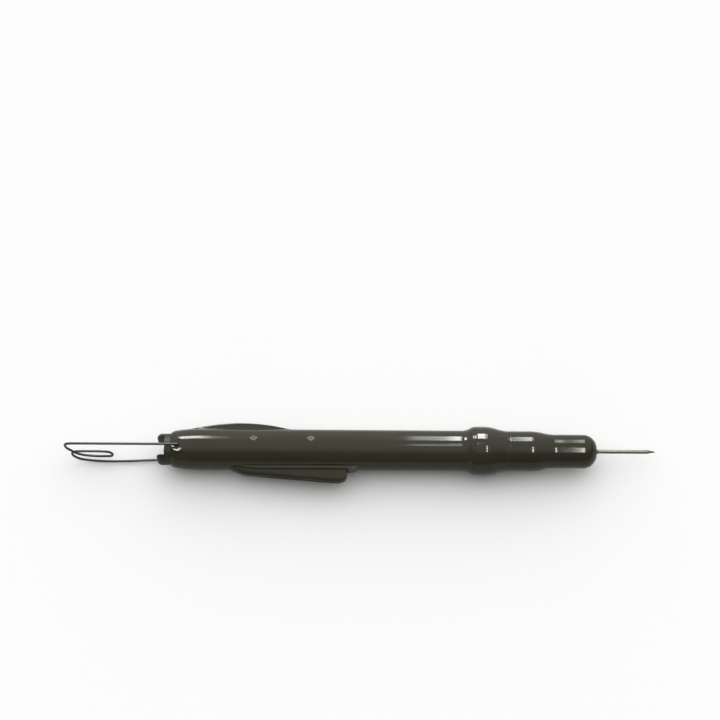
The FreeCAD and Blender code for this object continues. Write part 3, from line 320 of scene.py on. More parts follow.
@dataclass
class Shape:
    """Points and faces of one piece in millimetres, gathered from closed grids."""

    crease: float = 34.0
    worn_bends: Pair = (0.15, 0.9)
    least_square: float = 1e-6
    points: list[Array] = field(default_factory=list)
    faces: list[list[int]] = field(default_factory=list)
    count: int = 0

    def add_grid(self, grid: Array, caps: bool = False) -> "Shape":
        """Adds a grid that closes round its columns, and round its rows or with end faces.

        Args:
            grid: Points, rows by columns by three.
            caps: Whether the first and last row get a face each, and don't join.

        Returns:
            The shape itself.
        """
        rows, columns = grid.shape[:2]
        index = np.arange(rows * columns).reshape(rows, columns)
        lap = index if caps else np.concatenate([index, index[:1]])
        lap = np.concatenate([lap, lap[:, :1]], axis=1)
        ends = [index[0], index[-1][::-1]] if caps else []
        return self.add_faces(grid.reshape(-1, 3), grid_cells(lap).reshape(-1, 4), ends)

    def add_faces(self, points: Array, quads: Array, ends: list[Array]) -> "Shape":
        """Adds a closed body, turned inside out where its signed volume is negative.

        The volume is the sum of p0 . (p1 x p2) / 6 over all triangles of the faces.

        Args:
            points: Points of the body, one row each.
            quads: Four point numbers for each face.
            ends: Point numbers of further faces with more sides.

        Returns:
            The shape itself.
        """
        corner = points[quads]
        volume = np.einsum("ij,ij->", corner[:, 0], np.cross(corner[:, 1], corner[:, 2]))
        volume += np.einsum("ij,ij->", corner[:, 0], np.cross(corner[:, 2], corner[:, 3]))
        for end in ends:
            ring = points[end]
            volume += (np.cross(ring[1:-1], ring[2:]) @ ring[0]).sum()
        order = 1 if volume > 0.0 else -1
        self.faces.extend((quads[:, ::order] + self.count).tolist())
        self.faces.extend((end[::order] + self.count).tolist() for end in ends)
        self.points.append(points)
        self.count += len(points)
        return self

    def mesh_object(self, name: str) -> bpy.types.Object:
        """Makes the object, smooth but for edges sharper than the crease angle.

        Args:
            name: Name of the object.

        Returns:
            The linked object.
        """
        mesh = bpy.data.meshes.new(name)
        mesh.from_pydata((np.concatenate(self.points) * METRES).tolist(), [], self.faces)
        mesh.update()
        mesh.shade_smooth()
        mesh.set_sharp_from_angle(angle=math.radians(self.crease))
        self.mark_edges(mesh)
        return linked(name, mesh)

    def mark_edges(self, mesh: bpy.types.Mesh) -> None:
        """Stores how sharply each point stands out, for worn edges.

        The mean of 2 * (normal . edge) / length^2 over a point's edges is its curvature,
        and the mark runs from 0 to 1 between the two worn bends, per millimetre.

        Args:
            mesh: Mesh that gets the attribute.
        """
        count = len(mesh.vertices)
        place = np.empty(count * 3)
        normal = np.empty(count * 3)
        ends = np.empty(len(mesh.edges) * 2, dtype=np.int64)
        mesh.vertices.foreach_get("co", place)
        mesh.vertices.foreach_get("normal", normal)
        mesh.edges.foreach_get("vertices", ends)
        place = place.reshape(-1, 3) / METRES
        normal = normal.reshape(-1, 3)
        first, second = ends.reshape(-1, 2).T
        run = place[second] - place[first]
        square = np.maximum((run * run).sum(axis=1), self.least_square)
        bend = np.zeros(count)
        number = np.zeros(count)
        np.add.at(bend, first, -2.0 * (normal[first] * run).sum(axis=1) / square)
        np.add.at(bend, second, 2.0 * (normal[second] * run).sum(axis=1) / square)
        np.add.at(number, ends, 1.0)
        mark = ramp(*self.worn_bends, bend / np.maximum(number, 1.0))
        mesh.attributes.new("edge_mark", "FLOAT", "POINT").data.foreach_set("value", mark)


# Finishes


class Slot(Enum):
    """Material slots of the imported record."""

    HOUSING = "housing_plastic"
    NOSE = "nose_plastic"
    RING = "ring_plastic"
    LEVER = "lever_plastic"
    CAP = "cap_plastic"
    KNOB = "knob_plastic"
    SLEEVE = "sleeve_plastic"
    BAIL = "bail_steel"
    BIT = "bit_steel"
    SCREW = "screw_steel"
    SOCKET = "socket_nickel"
    SPRING = "spring_steel"
    SPINDLE = "spindle_steel"
    GEAR = "gear_steel"
    CASE = "case_alloy"
    MOTOR = "motor_steel"
    CORE = "core_steel"
    COPPER = "copper"
    BRASS = "brass"
    BRONZE = "bronze"
    MAGNET = "magnet"
    CARBON = "carbon"
    INSULATOR = "insulator"
    SWITCH = "switch_plastic"
    BOARD = "board"
    COMPONENT = "component"
    LEAD = "lead_cover"


class Marks(Enum):
    """How the marks of a metal run: share of the pitch kept along X, Y and Z."""

    TURNED = (1.0, 0.02, 0.02)
    DRAWN = (0.03, 1.0, 1.0)
    ROLLED = (1.0, 1.0, 0.05)


class Wiring:
    """Places nodes in one tree and joins them by socket."""

    def __init__(self, tree: bpy.types.NodeTree) -> None:
        """Keeps the tree and empties it."""
        self.tree = tree
        self.tree.nodes.clear()

    def place(self, kind: str, inputs: dict[str | int, Feed], **settings: object) -> bpy.types.Node:
        """Adds a node.

        Args:
            kind: Type name of the node.
            inputs: Value or source socket for each named or numbered input.
            settings: Properties of the node itself.

        Returns:
            The new node.
        """
        node = self.tree.nodes.new(kind)
        for key, value in settings.items():
            setattr(node, key, value)
        for key, value in inputs.items():
            if isinstance(value, Socket):
                self.tree.links.new(value, node.inputs[key])
            else:
                node.inputs[key].default_value = value
        return node

    def math(self, operation: str, first: Feed, second: Feed = 0.0) -> Socket:
        """Adds a Math node and gives its output."""
        return self.place("ShaderNodeMath", {0: first, 1: second}, operation=operation).outputs[0]

    def times(self, first: Feed, second: Feed) -> Socket:
        """Multiplies two values."""
        return self.math("MULTIPLY", first, second)

    def weighed(self, first: Socket, share: float, second: Socket) -> Socket:
        """Adds the share of one value and the rest of the other."""
        return self.math("ADD", self.times(first, share), self.times(second, 1.0 - share))

    def noise(self, vector: Socket, scale: Feed, detail: float) -> Socket:
        """Adds a Noise Texture of some scale per metre and octaves, and gives its grey output."""
        inputs = {"Vector": vector, "Scale": scale, "Detail": detail}
        return self.place("ShaderNodeTexNoise", inputs).outputs[0]

    def spread(
        self, value: Socket, source: Pair, target: tuple[Feed, Feed] = (0.0, 1.0), **settings: str
    ) -> Socket:
        """Adds a clamped Map Range.

        Args:
            value: Socket that is mapped.
            source: Start and end of the range it comes from.
            target: Results at that start and end, values or sockets.
            settings: Properties of the node itself.

        Returns:
            Its output.
        """
        inputs = {"Value": value, "From Min": source[0], "From Max": source[1]}
        inputs |= {"To Min": target[0], "To Max": target[1]}
        return self.place("ShaderNodeMapRange", inputs, **settings).outputs[0]

    def blend(self, factor: Socket, first: Feed, second: Feed) -> Socket:
        """Adds a colour Mix node, in which factor is the share of the second colour."""
        inputs = {0: factor, 6: first, 7: second}
        return self.place("ShaderNodeMix", inputs, data_type="RGBA").outputs[2]

    def vector_math(self, operation: str, first: Feed, second: Feed) -> bpy.types.Node:
        """Adds a Vector Math node."""
        return self.place("ShaderNodeVectorMath", {0: first, 1: second}, operation=operation)

    def effect(
        self, tree: bpy.types.NodeTree, inputs: dict[str, Feed], output: str | int = 0
    ) -> Socket:
        """Places a shared node group.

        Args:
            tree: The group.
            inputs: Value or source socket for each named input.
            output: Which output is wanted.

        Returns:
            That output.
        """
        return self.place("ShaderNodeGroup", inputs, node_tree=tree).outputs[output]

    def coordinates(self, output: str = "Object") -> Socket:
        """Adds a Texture Coordinate node and gives one of its outputs."""
        return self.place("ShaderNodeTexCoord", {}).outputs[output]

    def axis(self, vector: Socket, name: str) -> Socket:
        """Gives one axis of a vector."""
        return self.place("ShaderNodeSeparateXYZ", {0: vector}).outputs[name]

    def attribute(self, name: str) -> Socket:
        """Adds an Attribute node and gives its value."""
        return self.place("ShaderNodeAttribute", {}, attribute_name=name).outputs["Fac"]

    def bump(self, height: Socket, depth: float = METRES) -> Socket:
        """Adds a Bump node of full strength and gives its normal."""
        inputs = {"Height": height, "Distance": depth, "Strength": 1.0}
        return self.place("ShaderNodeBump", inputs).outputs[0]

    def principled(self, inputs: dict[str, Feed]) -> None:
        """Adds the Principled shader and the material's output."""
        shader = self.place("ShaderNodeBsdfPrincipled", inputs)
        self.place("ShaderNodeOutputMaterial", {"Surface": shader.outputs[0]})


class EffectGroup(Wiring):
    """Shader node group with named inputs and outputs."""

    def __init__(self, name: str, inputs: dict[str, str]) -> None:
        """Starts the group.

        Args:
            name: Name of the group.
            inputs: Socket type of each input by name.
        """
        super().__init__(bpy.data.node_groups.new(name, "ShaderNodeTree"))
        for label, kind in inputs.items():
            self.socket(label, "INPUT", kind)
        self.given = self.place("NodeGroupInput", {}).outputs

    def socket(self, label: str, way: str, kind: str) -> None:
        """Adds a named socket to the group."""
        self.tree.interface.new_socket(label, in_out=way, socket_type=f"NodeSocket{kind}")

    def closed(self, results: dict[str, Socket], kind: str = "Float") -> bpy.types.NodeTree:
        """Ends the group.

        Args:
            results: Socket that each named output gives.
            kind: Socket type of the outputs.

        Returns:
            The finished group.
        """
        for label in results:
            self.socket(label, "OUTPUT", kind)
        self.place("NodeGroupOutput", results)
        return self.tree


class Effects:
    """Shared shader effects, each built once as a node group.

    The scales of ripple, smears, specks and tone are multiples of the scale that a material
    gives, and the others are per metre. A range is the part of the noise that is spread over
    the result, and what is left is the least and the most of a mask.
    """

    ripple_scale: float = 0.12
    grain_share: float = 0.35
    smear_scale: float = 9.0
    patch_share: float = 0.7
    polish_range: Pair = (0.36, 0.64)
    speck_scale: float = 45.0
    drift_share: float = 0.75
    drift_range: Pair = (0.3, 0.7)
    rub_scale: float = 700.0
    rub_range: Pair = (0.35, 0.65)
    rub_left: Pair = (0.15, 1.0)
    upward_range: Pair = (0.35, 1.0)
    dust_scale: float = 60.0
    dust_range: Pair = (0.4, 0.75)
    dust_left: Pair = (0.2, 1.0)
    fleck_scale: float = 2600.0
    fleck_range: Pair = (0.5, 0.75)
    fleck_left: Pair = (0.25, 1.0)
    tone_scale: float = 0.2
    tone_range: Pair = (0.3, 0.7)

    def __init__(self) -> None:
        """Builds every group."""
        self.grain = self.mould_grain()
        self.polish = self.hand_polish()
        self.drift = self.tone_drift()
        self.rub = self.edge_rub()
        self.dust = self.settled_dust()
        self.lines = self.tool_marks()

    def mould_grain(self) -> bpy.types.NodeTree:
        """Height of a moulded skin: fine grain over a slow ripple.

        Returns:
            The group.
        """
        group = EffectGroup("mould_grain", {"Scale": "Float"})
        scale = group.given["Scale"]
        place = group.coordinates()
        fine = group.noise(place, scale, detail=3.0)
        slow = group.noise(place, group.times(scale, self.ripple_scale), detail=1.0)
        return group.closed({"Height": group.math("ADD", group.times(fine, self.grain_share), slow)})

    def hand_polish(self) -> bpy.types.NodeTree:
        """Roughness that wanders between a matt and a polished value.

        Returns:
            The group.
        """
        group = EffectGroup("hand_polish", {"Scale": "Float", "Polished": "Float", "Matt": "Float"})
        scale, polished, matt = (group.given[label] for label in ("Scale", "Polished", "Matt"))
        place = group.coordinates()
        patches = group.noise(place, scale, detail=4.0)
        smears = group.noise(place, group.times(scale, self.smear_scale), detail=2.0)
        both = group.weighed(patches, self.patch_share, smears)
        return group.closed({"Roughness": group.spread(both, self.polish_range, (polished, matt))})

    def tone_drift(self) -> bpy.types.NodeTree:
        """Colour whose brightness drifts in large soft patches and fine specks.

        Returns:
            The group.
        """
        group = EffectGroup("tone_drift", {"Colour": "Color", "Scale": "Float", "Amount": "Float"})
        colour, scale, amount = (group.given[label] for label in ("Colour", "Scale", "Amount"))
        place = group.coordinates()
        patches = group.noise(place, scale, detail=3.0)
        specks = group.noise(place, group.times(scale, self.speck_scale), detail=1.0)
        both = group.weighed(patches, self.drift_share, specks)
        limits = (group.math("SUBTRACT", 1.0, amount), group.math("ADD", 1.0, amount))
        value = group.spread(both, self.drift_range, limits)
        shade = group.place("ShaderNodeHueSaturation", {"Value": value, "Color": colour})
        return group.closed({"Colour": shade.outputs[0]}, "Color")

    def edge_rub(self) -> bpy.types.NodeTree:
        """Mask of edges rubbed in use: the edge mark broken up by noise.

        Returns:
            The group.
        """
        group = EffectGroup("edge_rub", {"Amount": "Float"})
        noise = group.noise(group.coordinates(), self.rub_scale, detail=4.0)
        broken = group.spread(noise, self.rub_range, self.rub_left)
        mask = group.times(group.attribute("edge_mark"), broken)
        return group.closed({"Mask": group.times(mask, group.given["Amount"])})

    def settled_dust(self) -> bpy.types.NodeTree:
        """Mask of fine dust on faces that look up, in thin patches.

        Returns:
            The group.
        """
        group = EffectGroup("settled_dust", {"Amount": "Float"})
        upward = group.spread(group.axis(group.coordinates("Normal"), "Z"), self.upward_range)
        place = group.coordinates()
        patches = group.noise(place, self.dust_scale, detail=5.0)
        flecks = group.noise(place, self.fleck_scale, detail=1.0)
        mask = group.times(upward, group.spread(patches, self.dust_range, self.dust_left))
        mask = group.times(mask, group.spread(flecks, self.fleck_range, self.fleck_left))
        return group.closed({"Mask": group.times(mask, group.given["Amount"])})

    def tool_marks(self) -> bpy.types.NodeTree:
        """Height and tone of fine lines, from noise stretched along the marks.

        Returns:
            The group.
        """
        group = EffectGroup("tool_marks", {"Stretch": "Vector", "Scale": "Float"})
        stretch, scale = group.given["Stretch"], group.given["Scale"]
        place = group.vector_math("MULTIPLY", group.coordinates(), stretch).outputs[0]
        lines = group.noise(place, scale, detail=3.0)
        slow = group.noise(place, group.times(scale, self.tone_scale), detail=2.0)
        return group.closed({"Height": lines, "Tone": group.spread(slow, self.tone_range)})


def empty_material(name: str) -> bpy.types.Material:
    """Makes a material that has nodes.

    Args:
        name: Name of the material.

    Returns:
        The material.
    """
    made = bpy.data.materials.new(name)
    made.use_nodes = True
    return made


@dataclass(frozen=True)
class Surface:
    """What every finish has: a colour in linear light, a roughness, and how both wander.

    The roughness rises by spread in matt places, the colour's brightness drifts by a share,
    and both scales are in patches per metre.
    """

    colour: Colour
    roughness: float
    spread: float = 0.06
    drift: float = 0.10
    drift_scale: float = 25.0
    polish_scale: float = 35.0

    def shade(self, wiring: Wiring, effects: Effects) -> dict[str, Feed]:
        """Gives the inputs of the Principled shader."""
        raise NotImplementedError

    def material(self, name: str, effects: Effects) -> bpy.types.Material:
        """Builds the material.

        Args:
            name: Name of the material.
            effects: Shared node groups.

        Returns:
            The material.
        """
        made = empty_material(name)
        wiring = Wiring(made.node_tree)
        wiring.principled(self.shade(wiring, effects))
        made.diffuse_color = (*self.colour, 1.0)
        return made

    def drifting_colour(self, wiring: Wiring, effects: Effects) -> Socket:
        """Places the tone drift on the own colour."""
        inputs = {"Colour": (*self.colour, 1.0), "Scale": self.drift_scale, "Amount": self.drift}
        return wiring.effect(effects.drift, inputs)

    def wandering_roughness(self, wiring: Wiring, effects: Effects) -> Socket:
        """Places the hand polish between the own roughness and the matt one."""
        limits = {"Polished": self.roughness, "Matt": self.roughness + self.spread}
        return wiring.effect(effects.polish, {"Scale": self.polish_scale, **limits})


@dataclass(frozen=True)
class Moulded(Surface):
    """Moulded plastic with grain, hand polish, rubbed edges and a little dust."""

    grain: float = 2200.0
    relief: float = 0.012
    rubbed: Colour = (0.11, 0.105, 0.085)
    rub: float = 0.35
    dusty: Colour = (0.32, 0.31, 0.28)
    dust: float = 0.05
    dust_matt: float = 0.5
    specular: float = 0.18

    def shade(self, wiring: Wiring, effects: Effects) -> dict[str, Feed]:
        """Gives the inputs of the Principled shader.

        Args:
            wiring: Tree of the material.
            effects: Shared node groups.

        Returns:
            Inputs by name.
        """
        rub = wiring.effect(effects.rub, {"Amount": self.rub})
        dust = wiring.effect(effects.dust, {"Amount": self.dust})
        colour = wiring.blend(rub, self.drifting_colour(wiring, effects), (*self.rubbed, 1.0))
        rough = self.wandering_roughness(wiring, effects)
        height = wiring.effect(effects.grain, {"Scale": self.grain})
        return {
            "Base Color": wiring.blend(dust, colour, (*self.dusty, 1.0)),
            "Roughness": wiring.math("ADD", rough, wiring.times(dust, self.dust_matt)),
            "Normal": wiring.bump(wiring.times(height, self.relief)),
            "Specular IOR Level": self.specular,
        }


@dataclass(frozen=True)
class Metal(Surface):
    """Bare or plated metal with marks of its making and a slight tarnish."""

    spread: float = 0.12
    drift: float = 0.12
    drift_scale: float = 90.0
    marks: Marks = Marks.TURNED
    scale: float = 2500.0
    relief: float = 0.004
    tarnish: Colour = (0.12, 0.11, 0.10)
    stain: float = 0.25

    def shade(self, wiring: Wiring, effects: Effects) -> dict[str, Feed]:
        """Gives the inputs of the Principled shader.

        Args:
            wiring: Tree of the material.
            effects: Shared node groups.

        Returns:
            Inputs by name.
        """
        given = {"Stretch": self.marks.value, "Scale": self.scale}
        tone = wiring.effect(effects.lines, given, "Tone")
        height = wiring.effect(effects.lines, given, "Height")
        stain = wiring.times(tone, self.stain)
        limits = (self.roughness, self.roughness + self.spread)
        return {
            "Base Color": wiring.blend(
                stain, self.drifting_colour(wiring, effects), (*self.tarnish, 1.0)
            ),
            "Roughness": wiring.spread(tone, (0.0, 1.0), limits),
            "Metallic": 1.0,
            "Normal": wiring.bump(wiring.times(height, self.relief)),
        }


@dataclass(frozen=True)
class Banded(Surface):
    """Stack or winding: bands of one pitch along X with dark gaps between them."""

    spread: float = 0.15
    drift: float = 0.15
    drift_scale: float = 120.0
    polish_scale: float = 150.0
    gap: Colour = (0.02, 0.018, 0.016)
    gap_range: Pair = (-0.9, 0.2)
    pitch: float = 0.5
    relief: float = 0.05

    def shade(self, wiring: Wiring, effects: Effects) -> dict[str, Feed]:
        """Gives the inputs of the Principled shader.

        Args:
            wiring: Tree of the material.
            effects: Shared node groups.

        Returns:
            Inputs by name.
        """
        along = wiring.axis(wiring.coordinates(), "X")
        wave = wiring.math("SINE", wiring.times(along, 2.0 * math.pi / (self.pitch * METRES)))
        band = wiring.spread(wave, self.gap_range)
        colour = self.drifting_colour(wiring, effects)
        return {
            "Base Color": wiring.blend(band, (*self.gap, 1.0), colour),
            "Roughness": self.wandering_roughness(wiring, effects),
            "Metallic": 1.0,
            "Normal": wiring.bump(wiring.times(band, self.relief)),
        }


@dataclass(frozen=True)
class PrintedBoard(Surface):
    """Circuit board: solder mask with copper tracks showing through as paler lines."""

    spread: float = 0.10
    drift_scale: float = 60.0
    polish_scale: float = 80.0
    track: Colour = (0.06, 0.16, 0.05)
    relief: float = 0.04
    track_scale: float = 90.0
    track_size: float = 0.03
    field_size: Pair = (1.4, 0.22)
    field_offset: float = 0.37
    field_squash: float = 1.6
    squash_rows: int = 3

    def shade(self, wiring: Wiring, effects: Effects) -> dict[str, Feed]:
        """Gives the inputs of the Principled shader.

        Args:
            wiring: Tree of the material.
            effects: Shared node groups.

        Returns:
            Inputs by name.
        """
        place = wiring.coordinates()
        flat = {"X": wiring.axis(place, "X"), "Y": wiring.axis(place, "Z")}
        fields = {
            "Vector": wiring.place("ShaderNodeCombineXYZ", flat).outputs[0],
            "Scale": self.track_scale,
            "Mortar Size": self.track_size,
            "Brick Width": self.field_size[0],
            "Row Height": self.field_size[1],
        }
        tracks = wiring.place(
            "ShaderNodeTexBrick", fields, offset=self.field_offset, squash=self.field_squash,
            squash_frequency=self.squash_rows,
        ).outputs["Fac"]
        colour = self.drifting_colour(wiring, effects)
        return {
            "Base Color": wiring.blend(tracks, colour, (*self.track, 1.0)),
            "Roughness": self.wandering_roughness(wiring, effects),
            "Normal": wiring.bump(tracks, self.relief * METRES),
        }


GLOSSY = {"roughness": 0.045, "spread": 0.025, "relief": 0.0025}
DARK_WIRE = {"marks": Marks.DRAWN, "tarnish": (0.03, 0.03, 0.03), "stain": 0.4}
DARK_BIT = {"tarnish": (0.06, 0.056, 0.048), "stain": 0.45}
FINISHES: dict[Slot, Surface] = {
    Slot.HOUSING: Moulded((0.0315, 0.0302, 0.0172), **GLOSSY),
    Slot.NOSE: Moulded((0.0295, 0.0280, 0.0158), **GLOSSY),
    Slot.RING: Moulded((0.0305, 0.0292, 0.0168), **GLOSSY),
    Slot.LEVER: Moulded((0.035, 0.0330, 0.0200), 0.24, rub=0.05, specular=0.06),
    Slot.CAP: Moulded((0.024, 0.0236, 0.0165), 0.42, relief=0.02),
    Slot.KNOB: Moulded((0.016, 0.016, 0.016), 0.40, relief=0.02, rub=0.5),
    Slot.SLEEVE: Moulded((0.0285, 0.0270, 0.0152), 0.06, spread=0.03, relief=0.0025),
    Slot.BAIL: Metal((0.055, 0.056, 0.058), 0.40, **DARK_WIRE),
    Slot.BIT: Metal((0.11, 0.105, 0.092), 0.30, **DARK_BIT),
    Slot.SCREW: Metal((0.085, 0.083, 0.076), 0.50),
    Slot.SOCKET: Metal((0.62, 0.61, 0.57), 0.18),
    Slot.SPRING: Metal((0.42, 0.42, 0.43), 0.26, marks=Marks.DRAWN),
    Slot.SPINDLE: Metal((0.50, 0.50, 0.51), 0.22),
    Slot.GEAR: Metal((0.44, 0.43, 0.41), 0.30),
    Slot.CASE: Metal((0.55, 0.55, 0.54), 0.42, marks=Marks.ROLLED),
    Slot.MOTOR: Metal((0.48, 0.47, 0.44), 0.34, marks=Marks.ROLLED),
    Slot.CORE: Banded((0.30, 0.29, 0.27), 0.40),
    Slot.COPPER: Banded((0.62, 0.24, 0.10), 0.28, gap=(0.16, 0.05, 0.02), pitch=0.45),
    Slot.BRASS: Metal((0.72, 0.52, 0.22), 0.24),
    Slot.BRONZE: Metal((0.50, 0.30, 0.15), 0.45),
    Slot.MAGNET: Moulded((0.030, 0.029, 0.029), 0.55, relief=0.03, rub=0.1),
    Slot.CARBON: Moulded((0.022, 0.022, 0.022), 0.60, relief=0.03, rub=0.1),
    Slot.INSULATOR: Moulded((0.030, 0.028, 0.025), 0.42),
    Slot.SWITCH: Moulded((0.028, 0.028, 0.029), 0.40),
    Slot.BOARD: PrintedBoard((0.018, 0.085, 0.030), 0.32),
    Slot.COMPONENT: Moulded((0.020, 0.020, 0.022), 0.36, grain=1500.0),
    Slot.LEAD: Moulded((0.34, 0.03, 0.025), 0.38, rub=0.0),
}


class Paint:
    """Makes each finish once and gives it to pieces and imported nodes."""

    def __init__(self, record: dict) -> None:
        """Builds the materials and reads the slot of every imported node.

        Args:
            record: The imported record.
        """
        effects = Effects()
        self.materials = {
            slot: finish.material(slot.value, effects) for slot, finish in FINISHES.items()
        }
        self.node_slots = {
            part["node"]: Slot(part["material_slot"]) for part in record["subparts"]
        }

    def coat(self, piece: bpy.types.Object, slot: Slot) -> None:
        """Gives a piece the finish of one slot."""
        piece.data.materials.clear()
        piece.data.materials.append(self.materials[slot])

    def coat_node(self, name: str, node: bpy.types.Object) -> None:
        """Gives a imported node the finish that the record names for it.

        Args:
            name: Name of the node.
            node: Its object.
        """
        if not node.material_slots:
            node.data.materials.append(None)
        for place in node.material_slots:
            place.material = self.materials[self.node_slots[name]]


# Sub-assemblies


@dataclass
class Assembly:
    """One sub-assembly: builds its shapes and dresses them."""

    slot: Slot = Slot.HOUSING
    body: str = "housing"
    suffix: str = "skin"

    def shapes(self) -> dict[str, Shape]:
        """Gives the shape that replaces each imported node, by node name."""
        raise NotImplementedError

    def dress(self, paint: Paint) -> list[bpy.types.Object]:
        """Makes the objects, coats them and sets them on their body.

        Args:
            paint: Finishes of the object.

        Returns:
            The finished pieces.
        """
        pieces = []
        for node, shape in self.shapes().items():
            piece = shape.mesh_object(f"{node}_{self.suffix}")
            paint.coat(piece, self.slot)
            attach(piece, self.body)
            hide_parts(node)
            LOG.info("%s: %d faces on %s", piece.name, len(piece.data.polygons), self.body)
            pieces.append(piece)
        return pieces


@dataclass
class Barrel(Assembly):
    """Both housing shells: barrel, flange, switch hump, lever bezel and bail bosses.

    Places are along the drive axis, and heights and radii are over it. A step, gap, room or
    span is how far a row of points keeps from the edge or middle of a form.
    """

    front: float = -83.8
    flange: float = -86.2
    flange_radius: float = 16.95
    flange_edge: float = 0.12
    spigot_radius: float = 13.4
    flare_rear: float = -94.8
    flare_front: float = -87.6
    flare_radius: float = 16.6
    front_radius: float = 14.25
    rear_radius: float = 14.6
    round_front: float = -278.0
    shoulder: float = -295.1
    shoulder_radius: float = 13.05
    rear: float = -297.5
    rear_end_radius: float = 11.9
    bore: float = 12.25
    rear_bore: float = 11.05
    cap_hole: float = 9.03
    rear_wall: float = 3.0
    hump_middle: float = -249.1
    hump_half_length: float = 32.2
    hump_crest: float = 18.3
    hump_base: float = 14.4
    hump_half_width: float = 4.7
    hump_edge: float = 1.8
    hump_fillet: float = 0.9
    hump_reach: float = 0.9
    bezel_rear: float = -260.6
    bezel_front: float = -164.7
    bezel_height: float = 15.3
    bezel_end_height: float = 13.0
    bezel_half_width: float = 5.3
    bezel_slopes: Pair = (24.0, 8.2)
    bezel_fall: float = 4.0
    bezel_edge: float = 0.35
    bezel_fillet: float = 0.5
    bezel_room: float = 2.0
    slot_rear: float = -255.5
    slot_front: float = -173.7
    slot_half_width: float = 4.3
    knob_place: float = -252.1
    recess_half_length: float = 7.8
    recess_half_width: float = 3.1
    recess_floor: float = 16.7
    recess_room: float = 0.3
    stem_half_length: float = 5.0
    stem_half_width: float = 1.5
    edge_step: float = 0.04
    join_gap: float = 0.05
    decimals: int = 4
    groove_depth: float = 0.14
    groove_width: float = 0.09
    hump_rows: tuple[float, ...] = (0.0, 0.07, 0.18, 0.6, 1.1, 2.1, 2.7, 3.6)
    bezel_rows: tuple[float, ...] = (0.0, 0.07, 0.18, 0.6, 1.4, 2.4, 3.4, 4.6, 4.9)
    flank_rows: tuple[int, int, int] = (36, 56, 24)
    foot_angles: Pair = (26.0, 25.0)
    least_sine: float = 1e-4
    least_cosine: float = 1e-3
    steepest: float = 0.99
    settling: int = 25
    boss_place: Pair = (-291.9, -1.8)
    boss_radius: float = 5.0
    boss_top: float = 13.95
    boss_slope: float = 0.27
    boss_foot: float = 11.0
    boss_hole: float = 0.9
    boss_edges: Pair = (0.15, 0.4)
    boss_root: float = 0.5
    screw_places: Pair = (-199.6, -239.5)
    screw_offset: float = 3.6
    screw_room: float = 1.9
    screw_span: float = 3.0
    well_rim: tuple[Pair, ...] = ((2.75, -0.05), (2.65, 0.015), (2.0, 0.02))
    well_mouth: float = 0.10
    well_depth: float = 9.0
    well_foot: float = 12.1
    well_lap: float = 0.3
    rib_span: Pair = (-161.0, -98.0)
    rib_pitch: float = 4.15
    rib_width: float = 2.9
    rib_height: float = 0.06
    rib_shares: tuple[float, ...] = (-1.0, -0.7, -0.35, 0.0, 0.35, 0.7, 1.0)
    rib_turns: Pair = (126.0, 150.0)
    rib_steps: int = 22
    rib_sink: float = 0.004
    rib_foot: float = 0.3

    def radius_at(self, x: Array) -> Array:
        """Radius of the bare barrel: an arc at the rear, a slight taper, an arc to the flange.

        Both arcs are level where they join the taper, and a straight rim and a straight
        shoulder follow them.

        Args:
            x: Places along the drive axis.

        Returns:
            Radius at each place.
        """
        share = (x - self.flare_rear) / (self.round_front - self.flare_rear)
        widening = (self.rear_radius - self.front_radius) * np.clip(share, 0.0, 1.0)
        flare = arc_rise(
            self.flare_front - self.flare_rear, self.flare_radius - self.front_radius,
            x - self.flare_rear,
        )
        rim = (self.flange_radius - self.flare_radius) / (self.flange - self.flare_front)
        flare = flare + rim * np.clip(x - self.flare_front, 0.0, None)
        dome = arc_rise(
            self.round_front - self.shoulder, self.rear_radius - self.shoulder_radius,
            self.round_front - x,
        )
        slope = (self.shoulder_radius - self.rear_end_radius) / (self.shoulder - self.rear)
        fall = slope * np.clip(self.shoulder - x, 0.0, None)
        return self.front_radius + widening + flare - dome - fall

    def hump_height(self, x: Array) -> Array:
        """Crest of the switch hump over the axis: an arc through its base points and crest.

        Args:
            x: Places along the drive axis.

        Returns:
            Height over the axis at each place.
        """
        sag = self.hump_crest - self.hump_base
        rho = (self.hump_half_length ** 2 + sag * sag) / (2.0 * sag)
        away = np.clip(np.abs(x - self.hump_middle), 0.0, self.hump_reach * rho)
        return self.hump_crest - rho + np.sqrt(rho * rho - away * away)

    def bezel_rise(self, x: Array) -> Array:
        """Height of the lever bezel: a soft slope at each end, and a fall behind the rear one.

        Args:
            x: Places along the drive axis.

        Returns:
            Height over the axis at each place.
        """
        rise = self.bezel_height - self.bezel_end_height
        rear = ramp(self.bezel_rear, self.bezel_rear + self.bezel_slopes[0], x)
        front = 1.0 - ramp(self.bezel_front - self.bezel_slopes[1], self.bezel_front, x)
        fall = 1.0 - ramp(self.bezel_rear - self.bezel_fall, self.bezel_rear, x)
        return self.bezel_end_height - self.bezel_fall * fall + rise * rear * front

    def skin(self, x: Array, base: Array, angle: Array) -> Array:
        """Radius of the outside in a direction: barrel, hump and bezel joined with fillets.

        A pad of height h and half width w has radius min(h / |cos a|, w / |sin a|), with
        its edge rounded, and the pads are joined to the barrel by smooth_max.

        Args:
            x: Places along the drive axis, one column.
            base: Radius of the bare barrel at those places.
            angle: Directions from +Y towards +Z.

        Returns:
            Radius for each place and direction.
        """
        cosine = np.cos(angle)
        sine = np.maximum(np.abs(np.sin(angle)), self.least_sine)
        plus = np.maximum(cosine, self.least_cosine)
        minus = np.maximum(-cosine, self.least_cosine)
        hump = smooth_min(self.hump_height(x) / plus, self.hump_half_width / sine, self.hump_edge)
        bezel = smooth_min(self.bezel_rise(x) / minus, self.bezel_half_width / sine, self.bezel_edge)
        out = smooth_max(base, np.where(cosine > 0.0, hump, 0.0), self.hump_fillet)
        return smooth_max(out, np.where(cosine < 0.0, bezel, 0.0), self.bezel_fillet)

